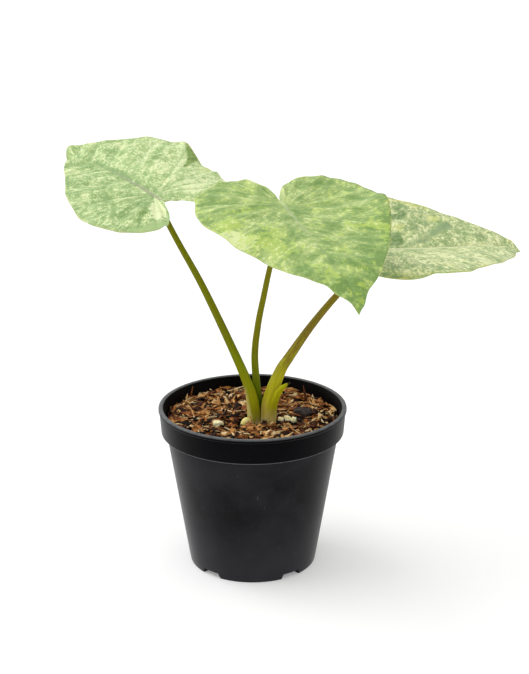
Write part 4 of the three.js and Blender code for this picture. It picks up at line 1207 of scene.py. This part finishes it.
# %% Blades: relief of the veins
VEIN_PLACES = np.array([0.11, 0.17, 0.235, 0.305, 0.38, 0.455, 0.53, 0.61, 0.69, 0.77, 0.86])
QUILT = 0.9
GROOVE = 0.3
MIDRIB_GROOVE = 0.5
VEIN_HEIGHT = 0.55
VEIN_HALF = (0.9, 0.55)
MIDRIB_GROOVE_HALF = 1.3
VEIN_SPACING = 0.07
RIPPLE_OUT, RIPPLE_UP = 0.08, 0.1
KINKS = {  # for each side: half, place, reach, push out, push up
    "left": [
        (0, 0.195, 0.04, 0.9, 0), (0, 0.33, 0.04, 0.5, 0), (0, 0.56, 0.018, 1.2, 0),
        (0, 0.765, 0.018, 2.0, 0), (1, 0.075, 0.02, 1.5, 1.3), (1, 0.285, 0.018, 0, 1.5),
        (1, 0.335, 0.018, 0, -1.4), (1, 0.375, 0.018, 0, 3.0), (1, 0.42, 0.014, 0, -2.5),
        (1, 0.47, 0.014, 0, 2.9),
    ],
    "middle": [
        (0, 0.07, 0.04, 1.2, 0), (0, 0.185, 0.04, 1.6, 0), (0, 0.435, 0.026, 0, 1.6),
        (0, 0.535, 0.018, 0, 0.6), (0, 0.64, 0.018, 0, 0.8), (0, 0.71, 0.04, 0, 1.0),
        (1, 0.12, 0.026, 1.8, 0), (1, 0.235, 0.04, 1.1, 0), (1, 0.355, 0.018, 1.3, 0),
        (1, 0.45, 0.03, 1.1, 0), (1, 0.575, 0.018, 2.0, 0), (1, 0.7, 0.012, 0, 2.0),
        (1, 0.805, 0.026, 0, 1.2),
    ],
    "right": [
        (0, 0.08, 0.026, 0, 1.0), (0, 0.265, 0.012, 0, -0.6), (0, 0.305, 0.018, 0, 0.5),
        (0, 0.36, 0.018, 0, -0.4), (1, 0.2, 0.04, 1.4, 0), (1, 0.4, 0.018, 2.4, 0),
        (1, 0.465, 0.018, -2.2, 0), (1, 0.52, 0.026, 1.3, 0),
    ],
}
RIPPLES = {  # for each side: waves round the margin, and their turn
    "left": ((13, 0.4), (19, 2.1)), "middle": ((14, 1.3), (21, 0.2)), "right": ((12, 2.6), (17, 0.9)),
}


def margin_kinks(kinks, half, a, ripple):
    """(out, up) in millimetres along the margin: a bell for each kink, given by its half, its
    place, its reach and how far it pushes out and up, and a ripple of two sine waves each way."""
    mine = [kink for kink in kinks if kink[0] == half]
    out = sum(bell([a - at], [reach], push) for _, at, reach, push, _ in mine)
    up = sum(bell([a - at], [reach], push) for _, at, reach, _, push in mine)
    calm = smooth_step(a, 0.0, 0.08) * (1 - smooth_step(a, 0.9, 1.0))
    for waves, turn in ripple:
        out = out + RIPPLE_OUT * calm * np.sin(2 * np.pi * waves * a + turn + 2 * half)
        up = up + RIPPLE_UP * calm * np.sin(2 * np.pi * (waves - 2) * a + 2 * turn + half)
    return out, up


def vein_relief(a, b, x, y):
    """(upper lift, lower ridge) in millimetres, and the vein mask, on one half's grid. The lift
    sums the swelling between the veins, the groove over each and the groove over the midrib."""
    step = np.hypot(np.gradient(x, axis=0), np.gradient(y, axis=0)) / (a[1] - a[0])
    off = np.abs(a[:, None] - VEIN_PLACES[None]).min(1)[:, None] * step
    cell = np.interp(a, VEIN_PLACES, np.arange(len(VEIN_PLACES)))
    swell = np.sin(np.pi * (cell % 1)) ** 2
    swell = np.where((a < VEIN_PLACES[0]) | (a > VEIN_PLACES[-1]), 0, swell)[:, None]
    reach = smooth_step(b, 0.02, 0.35) * (1 - smooth_step(b, 0.75, 1.0))
    gap = np.clip(step * VEIN_SPACING / 9, 0.2, 1.2)
    vein_half = VEIN_HALF[0] + (VEIN_HALF[1] - VEIN_HALF[0]) * b
    vein = bell([off], [vein_half], 1 - smooth_step(b, 0.8, 1.0))
    midrib = bell([y], [MIDRIB_GROOVE_HALF], MIDRIB_GROOVE)
    upper = QUILT * swell * reach * gap - GROOVE * vein * reach - midrib
    return upper, VEIN_HEIGHT * vein, vein * smooth_step(b, 0.0, 0.1)

# %% Blades: the piece
MARGIN_STEPS = 300
CROSS_STEPS = 40
BLADE_THICKNESS = 0.42
MIDRIB_HEIGHT = 1.9
MIDRIB_HALF = 1.7
HALF_SHIFT = 500
PATCH_KINDS = ("light", "cream", "yellow", "dark", "plain")


def patch_field(patches, half, a, b):
    """Sum of soft patches, each a Gauss bell at (half, a, b) with its two reaches and amount."""
    total = np.zeros((len(a), b.shape[1]))
    for on_half, at_a, at_b, *reaches, amount in patches:
        if on_half == half:
            total += bell((a[:, None] - at_a, b - at_b), reaches, amount)
    return total


def blade_piece(name, side, blade, patches, finishes):
    """Upper and lower surface of both halves, joined round the margin. The map \"flat\" holds
    the flat heart in centimetres, and \"vein\" the way along the margin and out along a vein."""
    a = np.linspace(0, 1, MARGIN_STEPS + 1)
    b = np.linspace(0, 1, CROSS_STEPS + 1)[None] ** 1.2
    size = (MARGIN_STEPS + 1) * (CROSS_STEPS + 1)
    points, flats, veins, quads = [], [], [], []
    tints = {key: [] for key in ("rim", "vein_mask", *PATCH_KINDS)}
    for lower in (False, True):
        for half in (0, 1):
            x, y = flat_half(blade, half, a, b)
            upper, ridge, mask = vein_relief(a, b, x, y)
            out, up = margin_kinks(KINKS[side], half, a, RIPPLES[side])
            run = np.maximum(np.hypot(x[:, -1] - x[:, 0], y[:, -1]), 3.0)[:, None]
            drawn = out[:, None] / run * b ** 3
            ahead = np.clip(x / blade.length, 0, 1)
            rib = bell([y], [MIDRIB_HALF], MIDRIB_HEIGHT * (1 - 0.85 * ahead))
            rise = margin_values(blade.margin[half], a)[:, None] * b ** 3 + up[:, None] * b ** 4
            lift = upper + rise - lower * (BLADE_THICKNESS + ridge + rib)
            points.append(blade_points(blade, half, x + (x - x[:, :1]) * drawn, y + y * drawn, lift))
            flats.append(np.stack([x, HANDS[half] * y], -1) / 10)
            steps = np.hypot(np.diff(x[:, -1]), np.diff(y[:, -1]))
            along = np.concatenate([[0], np.cumsum(steps)])[:, None] + HALF_SHIFT * half
            veins.append(np.stack([along + 0 * b, b * run], -1) / 10)
            tints["rim"].append(np.broadcast_to(b, x.shape))
            tints["vein_mask"].append(mask)
            for key in PATCH_KINDS:
                tints[key].append(patch_field(patches.get(key, []), half, a, b))
            quads.append(grid_quads(MARGIN_STEPS + 1, CROSS_STEPS + 1, start=size * (2 * lower + half)))
    margin = np.arange(MARGIN_STEPS + 1) * (CROSS_STEPS + 1) + CROSS_STEPS
    for edge in (margin, margin + size):
        below = edge + 2 * size
        quads.append(np.stack([edge[:-1], edge[1:], below[1:], below[:-1]], 1))
    sheet = MARGIN_STEPS * CROSS_STEPS
    slots = np.repeat([0, 1, 1], [2 * sheet, 2 * sheet, 2 * MARGIN_STEPS])
    tints = {key: np.ravel(values) for key, values in tints.items()}
    maps = {"flat": flats, "vein": veins}
    return make_piece(name, points, np.vstack(quads), finishes, maps, tints, slots)

# %% [markdown]
# The marbling differs from leaf to leaf, but it is built alike. Green lies in cloudy zones of a
# lighter and a deeper tone. Cream runs over it in flecks and threads drawn out along the side
# veins, thick in some zones and nearly absent in others. A few patches are yellow green or all
# cream, and light patches lighten or darken the tone: partly the leaf's own tone, partly painted
# light and shade. On the left leaf a few dark patches paint the shade of a fold, and plain ones
# at the near lobe's edge a painted shade and sheen. Tiny white dots are painted glints. The veins
# are paler, except on the left leaf, where a darker tone along them is painted shade in their
# grooves; the midrib has its own tone, and a thin yellow line edges the blade.

# %% Blade finish
LEVEL_PLACES = (0.18, 0.35, 0.5, 0.65, 0.82)


def net_of_threads(finish, place, scale):
    """1 on the pale threads and 0 in the cells between them: the distance to the edge of
    Voronoi cells whose places are first pushed about by noise, so that no edge is straight."""
    push = finish.node("TexNoise", {}, {"Vector": place, "Scale": 2.5, "Detail": 3.0}, "Color")
    settings = {"operation": "MULTIPLY_ADD"}
    pushed = finish.node("VectorMath", settings, {0: push, 1: (0.5, 0.5, 0.0), 2: place})
    cells = {"Vector": pushed, "Scale": scale}
    distance = finish.node("TexVoronoi", {"feature": "DISTANCE_TO_EDGE"}, cells, "Distance")
    return 1.0 - distance.rise(0.0, 0.2)


def blade_finish(name, look):
    """Upper side of a blade from a look. One level sums clouds, streaks along the side veins,
    flecks, the net and the leaf's patches, whose light ones are partly painted light and shade, and
    a ramp turns it into tones from deep green to cream. Yellow, dark and plain patches, specks,
    painted glints, veins, midrib and rim lie over that."""
    finish = Finish(name, Specular_IOR_Level=0.25, **flesh(0.03))
    # light: patches partly of the blade's own tone, partly painted light and shade.
    light = finish.tint("light")
    way = finish.drawn("flat")
    flat = finish.stretch(way, 1.0, 1.0, shift=(look.shift, look.shift, 0.0))
    vein = finish.stretch(finish.drawn("vein"), 1.0, 1.0, shift=(look.shift, look.shift, 0.0))
    clouds = finish.noise(flat, 0.9, 3.0, 0.55, 0.6)
    streaks = finish.noise(finish.stretch(vein, 1.9, 0.5), 1.0, 2.5, 0.5, 0.4)
    marks = finish.noise(finish.stretch(flat, 1.0, 1.0, shift=(5.0, 2.0, 0.0)), 3.0, 3.0, 0.6, 0.8)
    side_flecks = finish.noise(finish.stretch(vein, *look.fleck_scale), 1.0, 2.5, 0.5, 0.5)
    free_flecks = finish.noise(finish.stretch(flat, *look.free_scale), 1.0, 2.5, 0.5, 0.5)
    axis, low, high = look.free_zone
    free = way.part(axis).rise(low, high)
    flecks = side_flecks * (1.0 - free) + free_flecks * free
    busy = (clouds * 0.4 + marks * 0.6 + look.busy).rise(0.42, 0.58)
    net = net_of_threads(finish, flat, look.net_scale) * (marks + look.net_level).rise(0.46, 0.56)
    cloud_part, streak_part, fleck_part, net_part = look.parts
    cream = (finish.tint("cream") + (marks - 0.5) * 1.6 + (flecks - 0.5) * 0.5).rise(0.44, 0.56)
    level = (clouds - 0.5) * cloud_part + (streaks - 0.5) * streak_part
    level = level + (flecks - 0.5) * (busy * 0.85 + 0.3) * fleck_part + (marks - 0.5) * 0.35
    level = level + net * net_part + cream * look.cream_rise + light + look.level
    tone = finish.ramp(level, *zip(LEVEL_PLACES, look.tones))
    yellow = (clouds - 0.5) * 1.0 + (marks - 0.5) * 1.2 + finish.tint("yellow") + look.yellow_level
    tone = finish.mix(yellow.rise(0.05, 0.25) * look.yellow_amount, tone, look.yellow)
    speck_zone = (clouds * 0.5 + streaks * 0.5 + light * 0.5).rise(0.44, 0.6)
    specks = (side_flecks * 0.5 + marks * 0.5).rise(0.55, 0.6) * speck_zone
    tone = finish.mix(specks * look.specks, tone, look.cream)
    # dark: mostly the blade's own marbling; in the left leaf's far lobe it is painted shade of a fold.
    dark = (finish.tint("dark") + (marks - 0.5) * 2.0 + (flecks - 0.5) * 0.9).rise(*look.dark_rise)
    tone = finish.mix(dark * 0.9, tone, finish.mix(flecks.rise(0.35, 0.62), look.dark, look.dark_light))
    # plain: a flat tone; at the left leaf's near lobe edge it is painted shade and sheen.
    plain = (finish.tint("plain") + (marks - 0.5) * 1.3 + (flecks - 0.5) * 0.9).rise(0.28, 0.64)
    plain_tone = finish.mix(streaks.rise(0.4, 0.75) * 0.4, look.plain, look.tones[2])
    tone = finish.mix(plain * 0.92, tone, plain_tone)
    # Painted glints: tiny white dots.
    tone = finish.mix(finish.noise(vein, 9.0, 2.0).rise(0.69, 0.74) * 0.75, tone, "f4f5e2")
    # Vein tone: paler veins on the middle and right leaf; on the left leaf a darker tone, painted shade
    # in the veins' grooves.
    tone = finish.mix(finish.tint("vein_mask") * (1.0 - cream * 0.85) * look.vein_amount, tone, look.vein)
    rib = 1.0 - (abs(way.part("Y")) + (flecks - 0.5) * 0.1).rise(0.02, look.rib_width)
    rib = rib * (1.0 - way.part("X").rise(look.rib_reach * 0.6, look.rib_reach * 1.5))
    rib_tone = finish.mix(way.part("X").rise(0.3, look.rib_reach), look.rib, look.rib_far)
    tone = finish.mix(rib * look.rib_amount, tone, rib_tone)
    rim = finish.tint("rim").rise(0.97, 0.995) * finish.noise(flat, 1.1).rise(0.4, 0.62)
    tone = finish.mix(rim * look.rim_amount, tone, look.rim)
    return finish.made(tone, 0.4 + flecks * 0.16, flecks * 0.4 + clouds, 0.0003)


def underside_finish(name, code, pale_code, rib_code):
    """Lower side: paler and duller, with the marbling showing through faintly."""
    finish = Finish(name, Specular_IOR_Level=0.2, Roughness=0.6, **flesh(0.03))
    flat = finish.drawn("flat")
    clouds = finish.noise(flat, 1.6, 5.0, 0.65, 0.6)
    # The light patches show here too: partly painted light and shade.
    tone = finish.mix((clouds + finish.tint("light") * 0.6).rise(0.45, 0.62), code, pale_code)
    tone = finish.mix(finish.tint("vein_mask") * 0.5, tone, rib_code)
    rib = 1.0 - abs(flat.part("Y")).rise(0.08, 0.18)
    return finish.made(finish.mix(rib * 0.8, tone, rib_code), None, clouds, 0.0003)

# %% Blades: looks
LOOKS = by_side(dict(
    tones=(("86a465", "9cb877", "b3ca8b", "c9da9f", "dfe9b5"),
           ("76974e", "8eaa60", "a4bb72", "b9cb86", "d6e1a0"),
           ("7a965a", "92aa70", "adbe85", "cbd59a", "e8edba")),
    parts=((0.9, 0.6, 0.8, 0.3), (1.1, 0.85, 1.1, 0.03), (0.9, 0.5, 1.35, 0.18)),
    level=(0.42, 0.42, 0.46),
    fleck_scale=((4.6, 1.7), (6.4, 3.4), (4.4, 3.0)),
    free_scale=((6.0, 6.0), (3.0, 4.6), (4.4, 4.8)),
    free_zone=(("Y", 0.2, -0.2), ("X", 4.5, 7.0), ("X", 5.0, 8.0)),
    busy=(0.02, -0.02, 0.03),
    net_scale=(4.6, 4.5, 4.4),
    net_level=(0.03, 0.0, 0.03),
    yellow=("d2dc8c", "b2cc55", "c9cf74"),
    yellow_level=(-0.1, 0.02, -0.06),
    yellow_amount=(0.4, 0.6, 0.55),
    cream=("e8efbd", "e2e9ae", "eceebf"),
    cream_rise=(0.42, 0.4, 0.26),
    specks=(0.45, 0.7, 0.6),
    dark=("587a2e", "6b9045", "5f7f40"),
    dark_light=("84a052", "88ab5c", "87a06c"),
    dark_rise=((0.4, 0.9), (0.4, 0.64), (0.35, 0.82)),
    plain=("a3bf7f", "86a23c", "819b6e"),
    # The left leaf's vein tone is darker: painted shade in the veins' grooves.
    vein=("84a264", "a9c27e", "d3d9a8"),
    vein_amount=(0.5, 0.2, 0.25),
    rib=("a39f8a", "c6cea6", "e8e9c4"),
    rib_far=("93a87a", "84a45a", "d6deb0"),
    rib_reach=(5.0, 7.0, 8.0),
    rib_amount=(0.75, 0.42, 0.85),
    rib_width=(0.17, 0.2, 0.12),
    rim=("d6cf8a", "c4cb70", "dccf76"),
    rim_amount=(0.6, 0.6, 0.8),
    shift=(1.3, 4.6, 8.2),
))
# Light patches are partly the blade's own tone and partly painted light and shade.
PATCHES = {  # for each side and kind: half, a, b, reach along a, reach along b, amount
    "left": {
        # Partly painted shade: the darker near half, the valley by the midrib, a vein's groove.
        "light": [
            (0, 0.35, 0.6, 0.3, 0.7, -0.09), (0, 0.17, 0.6, 0.07, 0.5, -0.08),
            (1, 0.17, 0.6, 0.09, 0.9, -0.08), (1, 0.55, 0.7, 0.12, 0.5, 0.16),
            (1, 0.33, 0.5, 0.008, 0.35, -0.22), (1, 0.245, 0.04, 0.1, 0.06, -0.2),
            (1, 0.3, 0.04, 0.1, 0.08, -0.12), (1, 0.225, 0.56, 0.015, 0.12, -0.12),
            (0, 0.42, 0.3, 0.02, 0.2, 0.1), (0, 0.6, 0.97, 0.2, 0.1, -0.06),
            (0, 0.6, 0.5, 0.05, 0.4, -0.1), (1, 0.6, 0.5, 0.1, 0.4, 0.12),
            (1, 0.35, 0.65, 0.06, 0.45, 0.07),
        ],
        "cream": [
            (0, 0.76, 0.42, 0.095, 0.32, 2.5), (1, 0.52, 0.75, 0.01, 0.3, 0.5),
            (1, 0.56, 0.6, 0.008, 0.3, 0.5), (1, 0.475, 0.8, 0.006, 0.2, 0.4),
        ],
        # The three in half 1 near 0.4 are painted shade of the far lobe's fold.
        "dark": [
            (0, 0.618, 0.5, 0.02, 0.08, 1.3), (0, 0.59, 0.56, 0.015, 0.06, 0.8),
            (1, 0.39, 0.99, 0.016, 0.13, 1.6), (1, 0.402, 0.86, 0.008, 0.12, 1.2),
            (1, 0.407, 0.72, 0.005, 0.1, 1.0), (0, 0.165, 0.85, 0.02, 0.2, 0.45),
        ],
        # Painted shade and sheen of the rolled-down end of the near lobe.
        "plain": [
            (0, 0.7, 0.93, 0.075, 0.1, 1.0), (0, 0.8, 0.97, 0.05, 0.06, 1.0),
            (0, 0.61, 0.96, 0.05, 0.05, 0.7),
        ],
        "yellow": [(1, 0.443, 0.9, 0.016, 0.08, 0.8), (0, 0.72, 1.0, 0.06, 0.03, 0.3)],
    },
    "middle": {
        # Partly the blade's own tone, partly painted light and shade.
        "light": [
            (0, 0.08, 0.5, 0.06, 0.6, -0.2), (0, 0.235, 0.82, 0.05, 0.2, -0.22),
            (0, 0.32, 0.97, 0.05, 0.08, -0.2), (0, 0.69, 0.3, 0.05, 0.3, 0.14),
            (1, 0.6, 0.9, 0.05, 0.2, -0.06), (1, 0.455, 0.45, 0.015, 0.2, -0.06),
            (0, 0.18, 0.45, 0.05, 0.6, -0.12), (1, 0.858, 0.9, 0.05, 0.3, 0.2),
            (0, 0.85, 0.6, 0.1, 0.6, 0.14), (1, 0.36, 0.75, 0.06, 0.3, 0.04),
            (1, 0.08, 0.5, 0.06, 0.6, -0.2), (1, 0.15, 0.5, 0.05, 0.6, -0.08),
            (1, 0.345, 0.1, 0.05, 0.1, 0.08), (0, 0.37, 0.95, 0.06, 0.1, -0.08),
            (1, 0.5, 0.95, 0.06, 0.1, -0.1),
        ],
        "cream": [
            (1, 0.37, 0.93, 0.026, 0.11, 1.9), (1, 0.345, 0.88, 0.012, 0.12, 0.8),
            (1, 0.345, 0.72, 0.01, 0.1, 0.5), (1, 0.4, 0.6, 0.008, 0.05, 0.5),
        ],
        "plain": [(0, 0.0, 0.5, 0.035, 0.7, 1.0), (1, 0.0, 0.5, 0.035, 0.7, 1.0)],
        "yellow": [
            (1, 0.41, 0.82, 0.02, 0.14, 0.5), (1, 0.34, 0.72, 0.02, 0.2, 0.3),
            (1, 0.17, 0.45, 0.03, 0.3, 0.16), (0, 0.34, 0.85, 0.01, 0.2, 0.4),
            (1, 0.455, 0.42, 0.02, 0.25, 0.3), (0, 0.12, 0.5, 0.03, 0.4, 0.12),
            (1, 0.3, 0.55, 0.03, 0.2, 0.25),
        ],
        "dark": [
            (1, 0.455, 0.3, 0.012, 0.1, 0.5), (0, 0.22, 0.65, 0.03, 0.2, 0.45),
            (0, 0.27, 0.85, 0.02, 0.12, 0.4), (1, 0.33, 0.25, 0.01, 0.1, 0.4),
        ],
    },
    "right": {
        "dark": [
            (0, 0.354, 0.7, 0.008, 0.05, 1.7), (0, 0.36, 0.61, 0.01, 0.05, 1.6),
            (0, 0.372, 0.62, 0.006, 0.05, 1.3), (0, 0.368, 0.8, 0.01, 0.05, 1.2),
            (0, 0.366, 0.2, 0.012, 0.09, 1.8), (0, 0.362, 0.11, 0.014, 0.05, 1.4),
            (0, 0.305, 0.57, 0.007, 0.06, 1.1), (0, 0.315, 0.74, 0.01, 0.1, 0.6),
            (0, 0.29, 0.82, 0.01, 0.08, 0.6), (0, 0.26, 0.03, 0.02, 0.02, 0.7),
            (0, 0.264, 0.64, 0.007, 0.05, 0.8),
        ],
        "plain": [
            (0, 0.338, 0.08, 0.015, 0.05, 0.48), (0, 0.322, 0.14, 0.015, 0.06, 0.5),
            (0, 0.307, 0.24, 0.016, 0.08, 0.52), (0, 0.291, 0.36, 0.015, 0.09, 0.58),
            (0, 0.275, 0.49, 0.014, 0.09, 0.7), (0, 0.262, 0.6, 0.012, 0.07, 0.9),
            (0, 0.328, 0.4, 0.008, 0.1, 0.45),
        ],
        # Partly the blade's own tone, partly painted light and shade.
        "light": [
            (1, 0.3, 0.6, 0.1, 0.6, 0.08), (0, 0.365, 0.45, 0.01, 0.1, 0.12),
            (1, 0.545, 0.99, 0.06, 0.06, -0.4), (0, 0.15, 0.5, 0.08, 0.6, 0.05),
            (0, 0.04, 0.5, 0.05, 0.6, 0.1), (1, 0.04, 0.5, 0.05, 0.6, 0.08),
            (1, 0.45, 0.5, 0.12, 0.4, 0.07), (1, 0.22, 0.1, 0.15, 0.12, 0.1),
            (0, 0.22, 0.06, 0.06, 0.06, 0.14),
        ],
        "cream": [
            (1, 0.455, 0.62, 0.02, 0.14, 0.6), (1, 0.42, 0.8, 0.03, 0.1, 0.4),
            (1, 0.5, 0.35, 0.08, 0.2, 0.3), (1, 0.36, 0.3, 0.06, 0.15, 0.3),
        ],
        "yellow": [
            (0, 0.345, 0.97, 0.04, 0.06, 0.5), (0, 0.29, 0.72, 0.012, 0.1, 0.55),
            (1, 0.55, 0.93, 0.05, 0.12, 0.28), (1, 0.4, 1.0, 0.1, 0.04, 0.3),
            (0, 0.36, 0.4, 0.012, 0.08, 0.4), (1, 0.12, 1.0, 0.1, 0.06, 0.3),
        ],
    },
}

# %% Blades: pieces
for side, blade in blades.items():
    finishes = [
        blade_finish("blade_" + side + "_upper", LOOKS[side]),
        underside_finish("blade_" + side + "_lower", "a9bd80", "c9d29c", "bcc890"),
    ]
    leaf = blade_piece("leaf_" + side, side, blade, PATCHES[side], finishes)
    settle(leaf, "leaf", "blade_" + side)
